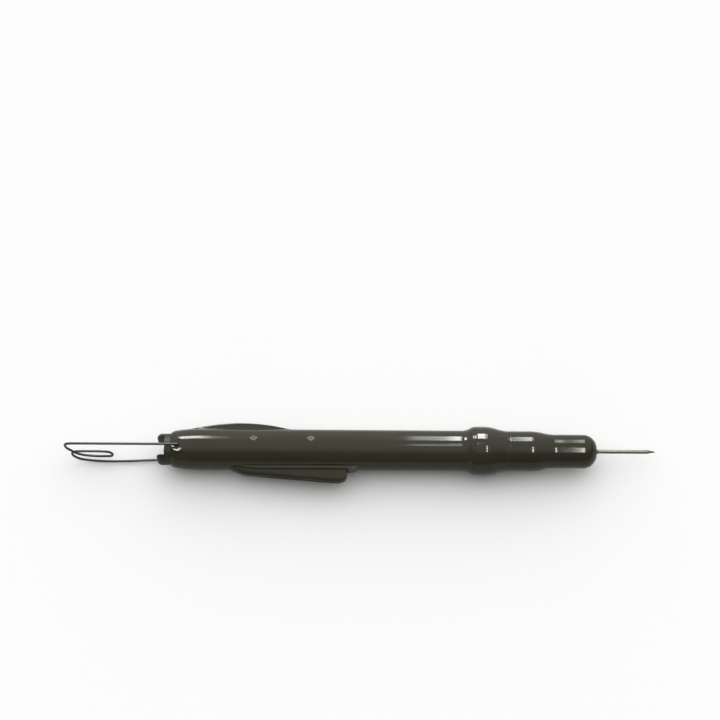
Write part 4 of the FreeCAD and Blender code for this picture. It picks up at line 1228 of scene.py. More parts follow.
    def stations(self) -> Array:
        """Places along the axis from front to rear, closer where the form changes.

        A run goes evenly from one place to another in a number of places, and places that
        fall together are kept once.

        Returns:
            One column of places.
        """
        first, second = self.screw_places
        span = self.screw_span
        recess = self.knob_place + self.recess_half_length
        recess_end = self.knob_place - self.recess_half_length
        stem = self.knob_place + self.stem_half_length
        stem_end = self.knob_place - self.stem_half_length
        single = [
            self.front, self.flange + self.join_gap, self.flange,
            recess + self.edge_step, recess - self.edge_step,
            recess_end + self.edge_step, recess_end - self.edge_step,
        ]
        runs = [
            (self.flange - self.flange_edge, self.flare_rear, 18),
            (self.flare_rear, self.bezel_front, 44),
            (self.bezel_front, self.slot_front, 22),
            (self.slot_front, first + span, 18),
            (first + span, first - span, 17),
            (first - span, second + span, 40),
            (second + span, second - span, 17),
            (recess + (stem - recess) / 3.0, stem, 3),
            (stem, self.slot_rear, 9),
            (self.slot_rear, stem_end, 4),
            (recess_end - self.recess_room, self.bezel_rear - self.bezel_room, 6),
            (self.bezel_rear - self.bezel_room, self.round_front + self.join_gap, 24),
            (self.round_front - self.join_gap, self.shoulder, 26),
            (self.shoulder, self.rear, 6),
        ]
        places = np.concatenate([single, *(np.linspace(*run) for run in runs)])
        return np.unique(places.round(self.decimals))[::-1, None]

    def section_angles(self, field_of: Callable[[Array], Array], count: int) -> Array:
        """Directions of the rows: lines of equal z near the parting, even turns between.

        A line of height z is found by repeating angle = asin(z / radius(angle)). The edges of
        the knob's stem and recess and of the lever slot are lines of their own.

        Args:
            field_of: Function that gives the radius for a grid of directions.
            count: Number of places along the axis.

        Returns:
            Grid of directions, places by rows.
        """
        recess = self.recess_half_width + self.edge_step * np.array([-1.0, 1.0])
        hump_rows = np.sort([*self.hump_rows, self.stem_half_width, *recess])
        bezel_rows = np.sort([*self.bezel_rows, self.slot_half_width])[::-1]
        sides = []
        for rows, start, way in ((hump_rows, 0.0, 1.0), (bezel_rows, np.pi, -1.0)):
            height = np.broadcast_to(rows, (count, len(rows)))
            angle = np.full(height.shape, start)
            for _ in range(self.settling):
                sine = np.clip(height / field_of(angle), 0.0, self.steepest)
                angle = start + way * np.arcsin(sine)
            sides.append(angle)
        plus, minus = sides
        first, last = plus[:, -1:], minus[:, :1]
        hump_foot = math.radians(self.foot_angles[0])
        bezel_foot = math.pi - math.radians(self.foot_angles[1])
        near, even, far = self.flank_rows
        flank = [
            first + np.linspace(0.0, 1.0, near)[1:-1] * (hump_foot - first),
            np.broadcast_to(np.linspace(hump_foot, bezel_foot, even), (count, even)),
            bezel_foot + np.linspace(0.0, 1.0, far)[1:-1] * (last - bezel_foot),
        ]
        return np.concatenate([plus, *flank, minus], axis=1)

    def half_shell(self, side: float) -> tuple[Array, Array]:
        """Closed half shell with its openings.

        The outer grid is the skin field, the inner one the bore, both on the same rows and
        places; cells in the lever slot, the knob slot and the screw wells are left out, and
        each edge of what is left gets a wall from the outer to the inner grid.

        Args:
            side: 1 for the upper shell, -1 for the lower one.

        Returns:
            Points, and four point numbers for each face.
        """
        x = self.stations()
        spigot = x > self.flange + self.join_gap / 2.0
        base = np.where(spigot, self.spigot_radius, self.radius_at(x))
        bore = np.where(x > self.round_front, self.bore, self.rear_bore)
        bore = np.where(x < self.rear + self.rear_wall, self.cap_hole, bore)
        angle = self.section_angles(lambda turn: self.skin(x, base, turn), len(x))
        outer = self.grid_at(x, angle, base)
        angle = self.section_angles(lambda turn: np.broadcast_to(bore, turn.shape), len(x))
        inner = about_axis(x, bore, angle)
        mirror = np.array([1.0, 1.0, side])
        return self.walled(outer * mirror, inner * mirror, self.kept_cells(outer, side))

    def grid_at(self, x: Array, angle: Array, base: Array) -> Array:
        """Outer points, with the parting groove and the knob recess pressed in.

        The groove is depth * exp(-(z / width)^2) deep at height z over the parting.

        Args:
            x: Places along the axis, one column.
            angle: Directions of the rows at each place.
            base: Radius of the bare barrel.

        Returns:
            Grid of points.
        """
        radius = self.skin(x, base, angle)
        y = radius * np.cos(angle)
        z = radius * np.sin(angle)
        y = y - np.sign(y) * self.groove_depth * np.exp(-((z / self.groove_width) ** 2))
        pressed = np.abs(x - self.knob_place) < self.recess_half_length
        pressed = pressed & (z < self.recess_half_width) & (y > 0.0)
        y = np.where(pressed, np.minimum(y, self.recess_floor), y)
        return np.stack([np.broadcast_to(x, y.shape), y, z], axis=-1)

    def kept_cells(self, outer: Array, side: float) -> Array:
        """Cells of the grid that are not in an opening.

        Args:
            outer: Outer points of the shell.
            side: 1 for the upper shell, which has the screw wells.

        Returns:
            True for each cell that stays.
        """
        middle = (outer[:-1, :-1] + outer[1:, :-1] + outer[1:, 1:] + outer[:-1, 1:]) / 4.0
        x, y, z = middle[..., 0], middle[..., 1], middle[..., 2]
        slot = (x > self.slot_rear) & (x < self.slot_front) & (z < self.slot_half_width) & (y < 0.0)
        stem = np.abs(x - self.knob_place) < self.stem_half_length
        stem = stem & (z < self.stem_half_width) & (y > 0.0)
        keep = ~(slot | stem)
        if side > 0.0:
            room = (self.screw_room + self.well_lap) ** 2
            for place in self.screw_places:
                keep &= (x - place) ** 2 + (y - self.screw_offset) ** 2 > room
        return keep

    @staticmethod
    def walled(outer: Array, inner: Array, keep: Array) -> tuple[Array, Array]:
        """Joins two grids into one closed body over the cells that are kept.

        Args:
            outer: Outer points.
            inner: Inner points on the same rows and places.
            keep: Which cells stay.

        Returns:
            Points, and four point numbers for each face.
        """
        rows, columns = outer.shape[:2]
        index = np.arange(rows * columns).reshape(rows, columns)
        deep = index + rows * columns
        quads = [grid_cells(index)[keep], grid_cells(deep)[keep][:, ::-1]]
        padded = np.pad(keep, 1).astype(np.int8)
        across = np.stack([index[:, :-1], index[:, 1:], deep[:, 1:], deep[:, :-1]], axis=-1)
        along = np.stack([index[1:], index[:-1], deep[:-1], deep[1:]], axis=-1)
        steps = (np.diff(padded, axis=0)[:, 1:-1], np.diff(padded, axis=1)[1:-1])
        for wall, step in zip((across, along), steps):
            quads += [wall[step == 1], wall[step == -1][:, ::-1]]
        points = np.concatenate([outer.reshape(-1, 3), inner.reshape(-1, 3)])
        used, order = np.unique(np.concatenate(quads), return_inverse=True)
        return points[used], order.reshape(-1, 4)

    def boss(self, side: float) -> Array:
        """Round boss with a shallow groove for the bail and a hole for its end.

        The outline is turned about the bail's swing line, and its upper rows are then raised
        by slope * |y - y0|, which makes the two walls of the groove.

        Args:
            side: 1 for the upper shell, -1 for the lower one.

        Returns:
            Grid of points.
        """
        top = self.boss_top - self.boss_slope * self.boss_radius
        corners = np.array([
            [self.boss_hole, self.boss_foot], [self.boss_hole, top],
            [self.boss_radius, top], [self.boss_radius, self.boss_foot],
        ])
        outline = rounded_loop(corners, np.array([0.0, *self.boss_edges, 0.0]), steps=6)
        grid = turned_upright(outline, self.boss_place, steps=96)
        rise = self.boss_slope * np.abs(grid[..., 1] - self.boss_place[1])
        grid[..., 2] += np.where(grid[..., 2] > self.boss_foot + self.boss_root, rise, 0.0)
        return grid * np.array([1.0, 1.0, side])

    def screw_well(self, place: float) -> Array:
        """Collar round a screw well, laid on the barrel.

        The outline's heights above the skin are added to sqrt(R^2 - y^2) at each point, and
        its foot stands at one level inside the wall.

        Args:
            place: Place of the screw along the axis.

        Returns:
            Grid of points.
        """
        outline = np.array([
            *self.well_rim, (self.screw_room, -self.well_mouth),
            (self.screw_room, -self.well_depth), (self.well_rim[0][0], -self.well_depth),
        ])
        grid = turned_upright(outline, (place, self.screw_offset))
        lift = grid[..., 2]
        level = np.sqrt(self.radius_at(grid[..., 0]) ** 2 - grid[..., 1] ** 2)
        grid[..., 2] = np.where(lift > -self.well_depth, level + lift, self.well_foot)
        return grid

    def grip_rib(self, place: float, side: float) -> Array:
        """Faint grip rib round the lever side of the barrel.

        Over the share s of its width the rib stands height * cos(pi s / 2)^2 above the skin,
        and the height fades out towards the flank; its foot lies inside the wall.

        Args:
            place: Middle of the rib along the axis.
            side: 1 for the upper shell, -1 for the lower one.

        Returns:
            Grid of points, turns by outline.
        """
        share = np.array(self.rib_shares)
        x = place + self.rib_width / 2.0 * np.concatenate([share, [1.0, -1.0]])
        start, full = np.radians(self.rib_turns)
        angle = np.linspace(start, math.pi, self.rib_steps)[:, None]
        arch = self.rib_height * np.cos(np.pi / 2.0 * share) ** 2
        crest = ramp(start, full, angle) * arch - self.rib_sink
        foot = np.full((len(angle), 2), -self.rib_foot)
        radius = self.radius_at(x) + np.concatenate([crest, foot], axis=1)
        return about_axis(x, radius, angle) * np.array([1.0, 1.0, side])

    def shapes(self) -> dict[str, Shape]:
        """Gives both shells by node name.

        Returns:
            Shape of each shell, with its boss, wells and ribs.
        """
        made = {}
        for node, side in (("housing_upper", 1.0), ("housing_lower", -1.0)):
            shape = Shape().add_faces(*self.half_shell(side), []).add_grid(self.boss(side))
            for place in self.screw_places if side > 0.0 else ():
                shape.add_grid(self.screw_well(place))
            for place in np.arange(*self.rib_span, self.rib_pitch):
                shape.add_grid(self.grip_rib(place, side), caps=True)
            made[node] = shape
        return made


@dataclass
class TorqueRing(Assembly):
    """Flared ring that sets the torque."""

    slot: Slot = Slot.RING
    body: str = "torque_ring"
    front: float = -62.06
    front_radius: float = 14.05
    front_edge: float = 0.3
    lip: float = 0.64
    start_slope: float = 6.0
    crown_front: float = -79.0
    crown_rear: float = -83.9
    crown_radius: float = 17.1
    rear: float = -86.14
    rear_radius: float = 16.75
    rear_edge: float = 0.35
    bore: float = 11.1
    pocket: float = -83.5
    pocket_radius: float = 14.6

    def shapes(self) -> dict[str, Shape]:
        """Gives the ring: lip, two arcs up to the crown, and a rounded rear edge, turned.

        Returns:
            Shape by node name.
        """
        slope = math.radians(self.start_slope)
        lip = (self.front - self.lip, self.front_radius)
        crest = (self.crown_front, self.crown_radius)
        crest_end = (self.crown_rear, self.crown_radius)
        heel = (self.rear, self.rear_radius)
        flare = biarc_points(lip, (-math.cos(slope), math.sin(slope)), crest, BACK, steps=14)
        crown = np.linspace(crest, crest_end, 8)[1:-1]
        edge = arc_points(crest_end, BACK, heel, steps=6)
        front = [(self.front, self.bore), (self.front, self.front_radius)]
        inside = [
            (self.rear, self.pocket_radius), (self.pocket, self.pocket_radius),
            (self.pocket, self.bore),
        ]
        corners = np.concatenate([front, flare, crown, edge, inside])
        radii = np.zeros(len(corners))
        radii[: len(front)] = self.front_edge
        radii[-len(inside) - 1] = self.rear_edge
        return {"torque_ring": Shape().add_grid(turned(rounded_loop(corners, radii, steps=5)))}


@dataclass
class NoseCover(Assembly):
    """Nose: rounded end, straight spigot, soft step and mid section."""

    slot: Slot = Slot.NOSE
    opening: Pair = (-1.55, 7.5)
    opening_edge: float = 0.25
    dome: float = -9.5
    radius: float = 11.8
    spigot_rear: float = -28.6
    step_rear: float = -46.8
    mid_radius: float = 14.05
    rear: float = -62.0
    rear_edge: float = 0.35
    guide_rear: float = -64.4
    guide_radius: float = 10.8
    guide_bore: float = 9.0
    seat_rear: float = -55.8
    seat_radius: float = 7.63
    bore: float = 8.4
    bore_front: float = -5.15

    def shapes(self) -> dict[str, Shape]:
        """Gives the nose: a quarter round, two arcs of the step and the inner steps, turned.

        Returns:
            Shape by node name.
        """
        dome = (self.dome, self.radius)
        spigot_end = (self.spigot_rear, self.radius)
        step_end = (self.step_rear, self.mid_radius)
        rear = (self.rear, self.mid_radius)
        outside = np.concatenate([
            arc_points(dome, -BACK, self.opening, steps=26)[::-1],
            np.linspace(dome, spigot_end, 14)[1:-1],
            biarc_points(spigot_end, BACK, step_end, BACK, steps=16),
            np.linspace(step_end, rear, 12)[1:-1],
        ])
        inside = [
            rear, (self.rear, self.guide_radius),
            (self.guide_rear, self.guide_radius), (self.guide_rear, self.guide_bore),
            (self.seat_rear, self.guide_bore), (self.seat_rear, self.seat_radius),
            (self.step_rear, self.seat_radius), (self.step_rear, self.bore),
            (self.bore_front, self.bore), (self.bore_front, self.opening[1]),
        ]
        corners = np.concatenate([outside, inside])
        radii = np.zeros(len(corners))
        radii[0] = self.opening_edge
        radii[len(outside)] = self.rear_edge
        return {"nose_cover": Shape().add_grid(turned(rounded_loop(corners, radii, steps=5)))}


@dataclass
class ChuckSleeve(Assembly):
    """Front cap of the nose that is pulled back to free the bit."""

    slot: Slot = Slot.SLEEVE
    body: str = "chuck_sleeve"
    rear: float = -17.0
    radius: float = 7.2
    end_round: float = 9.5
    round_level: float = 2.3
    shoulder: float = -1.361
    shoulder_edge: float = 0.22
    tip: Pair = (-0.005, 2.6)
    tip_edge: float = 0.12
    bore: float = 2.3
    wall: float = -2.6
    recess: Pair = (-10.2, 5.7)
    land: Pair = (-13.0, 4.55)
    pocket_radius: float = 6.2

    def shapes(self) -> dict[str, Shape]:
        """Gives the sleeve: a straight wall, a part of the nose's round end, inner steps, turned.

        Returns:
            Shape by node name.
        """
        lean = math.asin((self.radius - self.round_level) / self.end_round)
        heading = (math.sin(lean), -math.cos(lean))
        face = arc_points((self.shoulder, self.radius), heading, self.tip, steps=14)
        rear = [(self.rear, self.pocket_radius), (self.rear, self.radius)]
        inside = [
            (self.tip[0], self.bore), (self.wall, self.bore),
            (self.wall, self.recess[1]), self.recess,
            (self.recess[0], self.land[1]), self.land,
            (self.land[0], self.pocket_radius),
        ]
        corners = np.concatenate([rear, face, inside])
        radii = np.zeros(len(corners))
        radii[len(rear)] = self.shoulder_edge
        radii[-len(inside)] = self.tip_edge
        grid = turned(rounded_loop(corners, radii), steps=128)
        return {"chuck_sleeve": Shape().add_grid(grid)}


@dataclass
class DriverBit(Assembly):
    """Round bit with a cross point."""

    slot: Slot = Slot.BIT
    body: str = "output"
    shank_radius: float = 2.0
    shank_rear: float = -25.5
    shank_front: float = 0.5
    chamfer: float = 0.3
    shoulder_room: float = 0.2
    blade_radius: float = 1.3
    blade_start: float = 3.0
    blade_room: float = 1.0
    point: float = 35.6
    point_room: float = 0.6
    end: float = 40.6
    end_radius: float = 0.4
    flute_radius: float = 0.55
    flute_slope: float = 0.07
    flute_start: float = -0.3
    web_radius: float = 0.12

    def shapes(self) -> dict[str, Shape]:
        """Gives the bit: an outline turned about the axis, with four flutes in the point.

        A flute is a circle at distance d from the axis that comes in towards the end; at an
        angle f from it, it cuts the radius back to d cos f - sqrt(q^2 - (d sin f)^2).

        Returns:
            Shape by node name.
        """
        blade_rear = self.shank_front + self.shank_radius - self.blade_radius
        outline = np.array([
            (self.shank_rear, self.shank_radius - self.chamfer),
            (self.shank_rear + self.chamfer, self.shank_radius),
            (self.shank_front, self.shank_radius),
            (blade_rear, self.blade_radius),
            (self.point, self.blade_radius),
            (self.end, self.end_radius),
        ])
        shoulder = (self.shank_front - self.shoulder_room, blade_rear + self.shoulder_room)
        x = np.concatenate([
            outline[:2, 0], np.linspace(*shoulder, 8),
            np.linspace(self.blade_start, self.point - self.blade_room, 10),
            np.linspace(self.point - self.point_room, self.end, 44),
        ])
        radius = np.interp(x, *outline.T)[:, None]
        x = x[:, None]
        angle = full_turn(steps=96)
        away = np.mod(angle, np.pi / 2.0) - np.pi / 4.0
        centre = self.blade_radius - self.flute_slope * (x - self.point)
        inside = self.flute_radius ** 2 - (centre * np.sin(away)) ** 2
        cut = centre * np.cos(away) - np.sqrt(np.maximum(inside, 0.0))
        fluted = (inside > 0.0) & (x > self.point + self.flute_start)
        cut = np.minimum(radius, np.maximum(cut, self.web_radius))
        radius = np.where(fluted, cut, radius)
        return {"bit": Shape().add_grid(about_axis(x, radius, angle), caps=True)}


@dataclass
class StartLever(Assembly):
    """Lever that starts the motor, with a shallow dish for the fingers."""

    slot: Slot = Slot.LEVER
    body: str = "lever"
    rear: float = -255.3
    heel_front: float = -244.1
    heel_floor: float = 8.4
    heel_height: float = 14.2
    slant: Pair = (-251.5, 16.4)
    blend: Pair = (-237.1, 19.5)
    tip: Pair = (-182.9, 24.0)
    front: float = -174.5
    front_height: float = 19.0
    floor: float = 11.3
    half_width: float = 4.0
    edge: float = 2.3
    edge_start: float = 0.25
    edge_growth: float = 0.7
    end_rounds: Pair = (0.15, 0.45)
    foot_round: float = 0.3
    dish: float = 0.35
    dish_rear: Pair = (-243.0, -225.0)
    dish_front: Pair = (-186.0, -177.0)
    least_step: float = 1e-4

    def outline(self) -> Array:
        """Outer line of the lever: a slanted heel, two arcs, a straight run and a rounded tip.

        Returns:
            Rows of x and height over the axis, x always growing.
        """
        rise = math.atan2(self.tip[1] - self.blend[1], self.tip[0] - self.blend[0])
        slope = (math.cos(rise), math.sin(rise))
        first = np.array([self.rear, self.heel_height])
        lift = np.array(self.slant) - first
        line = np.concatenate([
            first + np.linspace(0.0, 1.0, 8)[:-1, None] * lift,
            biarc_points(self.slant, lift / np.linalg.norm(lift), self.blend, slope, steps=14),
            np.linspace(self.blend, self.tip, 40)[1:-1],
            biarc_points(self.tip, slope, (self.front, self.front_height), (0.0, -1.0), steps=14),
        ])
        line[:, 0] = np.maximum.accumulate(line[:, 0] + np.arange(len(line)) * self.least_step)
        return line

    def shapes(self) -> dict[str, Shape]:
        """Gives the lever: a rounded section carried along its outer line.

        Each section is a rectangle between floor and outer line with rounded corners, whose
        outer side sinks by dish * (1 - (z / w)^2) along the run of the fingers.

        Returns:
            Shape by node name.
        """
        line = self.outline()
        x, top = line[:, 0:1], line[:, 1:2]
        heel = x < self.heel_front
        floor = np.where(heel, self.heel_floor, self.floor)
        rounding = np.where(heel, *self.end_rounds)
        short = np.clip(rounding - np.minimum(x - x[0], x[-1] - x), 0.0, None)
        inset = rounding - np.sqrt(np.maximum(rounding ** 2 - short ** 2, 0.0))
        width = self.half_width - inset
        edge = np.minimum(self.edge, self.edge_start + self.edge_growth * (top - self.heel_height))
        turn = np.linspace(0.0, np.pi / 2.0, 8)
        corner_z = width - edge + edge * np.cos(turn)
        corner_h = top - edge + edge * np.sin(turn)
        share = np.linspace(1.0, -1.0, 15)[1:-1]
        window = ramp(*self.dish_rear, x) * (1.0 - ramp(*self.dish_front, x))
        face_z = share * (width - edge)
        face_h = top - self.dish * window * (1.0 - share ** 2)
        low = self.foot_round
        foot_z = width - low + low * np.cos(turn)
        foot_h = floor + low - low * np.sin(turn)
        z = [corner_z, face_z, -corner_z[:, ::-1], -foot_z, foot_z[:, ::-1]]
        height = [corner_h, face_h, corner_h[:, ::-1], foot_h, foot_h[:, ::-1]]
        z, height = np.concatenate(z, axis=1), np.concatenate(height, axis=1)
        grid = np.stack([np.broadcast_to(x, z.shape), -height, z], axis=-1)
        return {"lever": Shape().add_grid(grid, caps=True)}


@dataclass
class RearCap(Assembly):
    """Cap at the rear with two ears and a channel between them."""

    slot: Slot = Slot.CAP
    shell_rear: float = -297.5
    radius: float = 11.0
    channel: float = -301.7
    channel_half_width: float = 6.8
    rear: float = -307.3
    round: float = 3.6
    bore: float = 6.53
    neck_radius: float = 9.0
    neck_front: float = -294.5
    flange_radius: float = 10.75
    flange_front: float = -292.5
    base_edges: tuple[float, ...] = (0.0, 0.2, 0.2, 0.0, 0.0, 0.25, 0.0, 0.3)
    ear_root: Pair = (0.4, -0.5)
    ear_bend: float = 0.97
    ear_lean: float = 0.12
    lean_power: int = 6
    corner_turn: float = 0.03
    corner_inset: float = 0.15

    def base(self) -> Array:
        """Turned ring of the cap, with its neck and flange inside the shells.

        Returns:
            Grid of points.
        """
        corners = np.array([
            (self.flange_front, self.bore), (self.flange_front, self.flange_radius),
            (self.neck_front, self.flange_radius), (self.neck_front, self.neck_radius),
            (self.shell_rear, self.neck_radius), (self.shell_rear, self.radius),
            (self.channel, self.radius), (self.channel, self.bore),
        ])
        return turned(rounded_loop(corners, np.array(self.base_edges)))

    def ear(self, side: float) -> Array:
        """One ear: a segment of the cap's circle, carried rearwards into a rounded end.

        At each place the circle's radius shrinks as round - sqrt(round^2 - d^2), and the
        segment lies beyond the channel's wall; its two corners are cut back a little.

        Args:
            side: 1 for the +Y ear, -1 for the other.

        Returns:
            Grid of points.
        """
        bend = np.linspace(0.0, self.ear_bend * np.pi / 2.0, 14)
        root = self.channel + np.array(self.ear_root)
        x = np.concatenate([root, self.rear + self.round - self.round * np.sin(bend)])[:, None]
        shrunk = self.radius - self.round + self.round * np.cos(bend)
        radius = np.concatenate([np.full(len(root), self.radius), shrunk])[:, None]
        lean = np.linspace(0.0, 1.0, len(x))[:, None] ** self.lean_power * self.ear_lean
        wall = self.channel_half_width + lean
        half = np.arccos(wall / radius) - self.corner_turn
        share = np.linspace(-1.0, 1.0, 40)
        back = np.linspace(1.0, -1.0, 21)
        edge = radius * np.sin(half) - self.corner_inset
        y = [radius * np.cos(half * share), np.broadcast_to(wall, (len(x), len(back)))]
        z = [radius * np.sin(half * share), edge * back]
        y, z = np.concatenate(y, axis=1), np.concatenate(z, axis=1)
        return np.stack([np.broadcast_to(x, y.shape), side * y, z], axis=-1)

    def shapes(self) -> dict[str, Shape]:
        """Gives the cap: its turned base and both ears.

        Returns:
            Shape by node name.
        """
        shape = Shape().add_grid(self.base())
        shape.add_grid(self.ear(1.0), caps=True).add_grid(self.ear(-1.0), caps=True)
        return {"rear_cap": shape}


@dataclass
class PowerSocket(Assembly):
    """Plated shell of the power socket."""

    slot: Slot = Slot.SOCKET
    mouth: float = -302.5
    step: float = -294.5
    front: float = -290.0
    outer: float = 6.5
    inner: float = 6.0
    grip: float = 5.63
    edges: tuple[float, ...] = (0.0, 0.1, 0.24, 0.24, 0.0, 0.0)

    def shapes(self) -> dict[str, Shape]:
        """Gives the shell: a thin tube with a rolled lip and an inner step, turned.

        Returns:
            Shape by node name.
        """
        corners = np.array([
            (self.front, self.grip), (self.front, self.outer),
            (self.mouth, self.outer), (self.mouth, self.inner),
            (self.step, self.inner), (self.step, self.grip),
        ])
        outline = rounded_loop(corners, np.array(self.edges), steps=6)
        return {"socket_shell": Shape().add_grid(turned(outline, steps=96))}


@dataclass
class WireBail(Assembly):
    """Hanging bail of one bent wire with a curl.

    A row of the loop is a place along the bail's length, across its half width and over its
    lift, and the heading there in degrees.
    """

    slot: Slot = Slot.BAIL
    body: str = "bail"
    pivot: float = -291.9
    side: float = -1.8
    wire: float = 0.85
    half_width: float = 15.0
    length: float = 79.0
    end_depth: float = 3.6
    bend: float = 1.1
    lift: float = 1.2
    least_step: float = 1e-4
    loop: tuple[tuple[float, float, float, float], ...] = (
        (0.925, 1.0, 0.0, 180.0), (1.0, 0.6, 0.6, 270.0),
        (0.94, -0.3, 1.0, 300.0), (0.72, -0.8, 1.0, 0.0),
        (0.6, -0.39, 0.1, 90.0), (0.76, 0.17, -0.7, 180.0),
        (0.95, -0.1, -1.1, 270.0), (0.65, -1.0, -1.25, 0.0),
    )

    def stations(self) -> tuple[Array, Array]:
        """Points and headings that the wire passes, from the upper end to the lower one.

        Returns:
            Points, and unit headings, one row each.
        """
        x, y, w = self.pivot, self.side, self.half_width
        along, across, over, turn = np.array(self.loop).T
        turn = np.radians(turn)
        middle = np.stack([x - along * self.length, y + over * self.lift, across * w], axis=1)
        heads = np.stack([np.cos(turn), np.zeros(len(turn)), np.sin(turn)], axis=1)
        first = [(x, y, w - self.end_depth), (x, y, w - self.bend), (x - self.bend, y, w)]
        last = [(px, py, -pz) for px, py, pz in reversed(first)]
        up, back, ahead = (0.0, 0.0, 1.0), (-1.0, 0.0, 0.0), (1.0, 0.0, 0.0)
        headings = np.concatenate([[up, up, back], heads, [ahead, up, up]])
        return np.concatenate([first, middle, last]), headings

    def path(self) -> Array:
        """Centre line of the wire: two arcs between each pair of stations.

        Returns:
            Points, one row each, none twice.
        """
        points, heads = self.stations()
        ends = zip(points[:-1], heads[:-1], points[1:], heads[1:])
        runs = (biarc_points(*pair, steps=14)[1:] for pair in ends)
        line = np.concatenate([points[:1], *runs])
        apart = np.linalg.norm(np.diff(line, axis=0), axis=1) > self.least_step
        return line[np.concatenate([[True], apart])]

    def shapes(self) -> dict[str, Shape]:
        """Gives the wire: a circle carried along the path."""
        grid = wire_grid(self.path(), self.wire, np.array([0.0, 1.0, 0.0]), sides=20)
        return {"bail": Shape().add_grid(grid, caps=True)}


@dataclass
class CoilSpring(Assembly):
    """Stretch of a sprung wire coil; the joint that presses it is only named, and the coil keeps its
    length.
    """

    slot: Slot = Slot.SPRING
    suffix: str = "coil"
    node: str = "chuck_spring"
    joint: str = "sleeve_retract"
    heading: tuple[float, float, float] = (1.0, 0.0, 0.0)
    across: tuple[float, float, float] = (0.0, 1.0, 0.0)
    wire: float = 0.4
    turns: int = 4
    turn_steps: int = 40
    stretch: Pair = (0.0, 1.0)
    fixed: float = 0.0
    travel: float = 2.5
    play: float = 0.05

    def seat(self) -> tuple[Array, float, float]:
        """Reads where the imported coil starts, its length and its radius to the wire's middle.

        Returns:
            The point on the coil's axis at its first end, the length, and the radius.
        """
        low, high = np.array(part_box(self.node)) / METRES
        heading = np.array(self.heading)
        length = float(abs(heading) @ (high - low))
        radius = float(np.abs(self.across) @ (high - low)) / 2.0 - self.wire
        return (low + high - heading * length) / 2.0, length, radius

    def shapes(self) -> dict[str, Shape]:
        """Gives the stretch: a circle carried along a helix that climbs evenly from the seat.

        Returns:
            Shape by node name.
        """
        start, length, radius = self.seat()
        heading, across = np.array(self.heading), np.array(self.across)
        steps = self.turn_steps * self.turns * (self.stretch[1] - self.stretch[0])
        share = np.linspace(*self.stretch, round(steps) + 1)[:, None]
        turn = 2.0 * np.pi * self.turns * share
        out = np.cos(turn) * across + np.sin(turn) * np.cross(heading, across)
        climb = self.wire + (length - 2.0 * self.wire) * share
        line = start + radius * out + heading * climb
        grid = wire_grid(line, self.wire, heading, sides=12)
        return {self.node: Shape().add_grid(grid, caps=True)}

    def dress(self, paint: Paint) -> list[bpy.types.Object]:
        """Makes the stretch and gives it a mesh of its own.

        Args:
            paint: Finishes of the object.

        Returns:
            The finished piece, in a list.
        """
        pieces = super().dress(paint)
        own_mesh(pieces[0])
        return pieces


CLUTCH_COIL = {
    "node": "clutch_spring", "across": (0.0, 0.0, 1.0), "wire": 0.7, "turns": 6, "fixed": 0.5,
}
SPRINGS = (
    CoilSpring(body="output"),
    CoilSpring(
        suffix="rear_coil", joint="clutch_release", stretch=(0.0, 0.5), travel=0.8, **CLUTCH_COIL
    ),
    CoilSpring(
        suffix="front_coil", joint="spring_nut_advance", stretch=(0.5, 1.0), travel=4.01,
        **CLUTCH_COIL,
    ),
    CoilSpring(
        node="lever_spring", joint="lever_press", heading=(0.0, -1.0, 0.0),
        across=(1.0, 0.0, 0.0), wire=0.3, travel=1.4,
    ),
)


@dataclass
class InnerWorks:
    """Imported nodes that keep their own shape: drive, switches, screws and socket contacts."""

    rounded: tuple[str, ...] = ("direction_knob",)
    merge: float = 0.01
    edge: float = 0.25
    edge_steps: int = 3
    edge_angle: float = 35.0

    def dress(self, nodes: dict[str, bpy.types.Object], paint: Paint) -> None:
        """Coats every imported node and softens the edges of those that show.

        Args:
            nodes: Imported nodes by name.
            paint: Finishes of the object.
        """
        for name, node in nodes.items():
            paint.coat_node(name, node)
        for name in self.rounded:
            weld = nodes[name].modifiers.new("weld", "WELD")
            weld.merge_threshold = self.merge * METRES
            bevel = nodes[name].modifiers.new("edges", "BEVEL")
            bevel.width = self.edge * METRES
            bevel.segments = self.edge_steps
            bevel.limit_method = "ANGLE"
            bevel.angle_limit = math.radians(self.edge_angle)
        LOG.info("inner works: %d packed nodes coated", len(nodes))


# Studio


@dataclass(frozen=True)
class Lamp:
    """Area lamp: place along the axis in metres, angle in degrees from the front over the top."""

    name: str
    along: float
    angle: float
    width: float
    height: float
    radiance: float
    tint: Colour = (1.0, 1.0, 1.0)
    far: float = 2.0

    def hang(self) -> None:
        """Hangs the lamp, facing the drive axis, with the power that gives its radiance.

        It only shows as gloss, because the dome already lights the object evenly.
        """
        data = bpy.data.lights.new(self.name, "AREA")
        data.shape = "RECTANGLE"
        data.size = self.width
        data.size_y = self.height
        data.energy = self.radiance * math.pi * self.width * self.height
        data.color = self.tint
        turn = math.radians(self.angle)
        way = Vector((0.0, -math.cos(turn), math.sin(turn)))
        across = Vector((1.0, 0.0, 0.0))
        lamp = linked(self.name, data)
        lamp.matrix_world = Matrix((across, way.cross(across), way)).transposed().to_4x4()
        lamp.location = across * self.along + way * self.far
        lamp.visible_diffuse = False


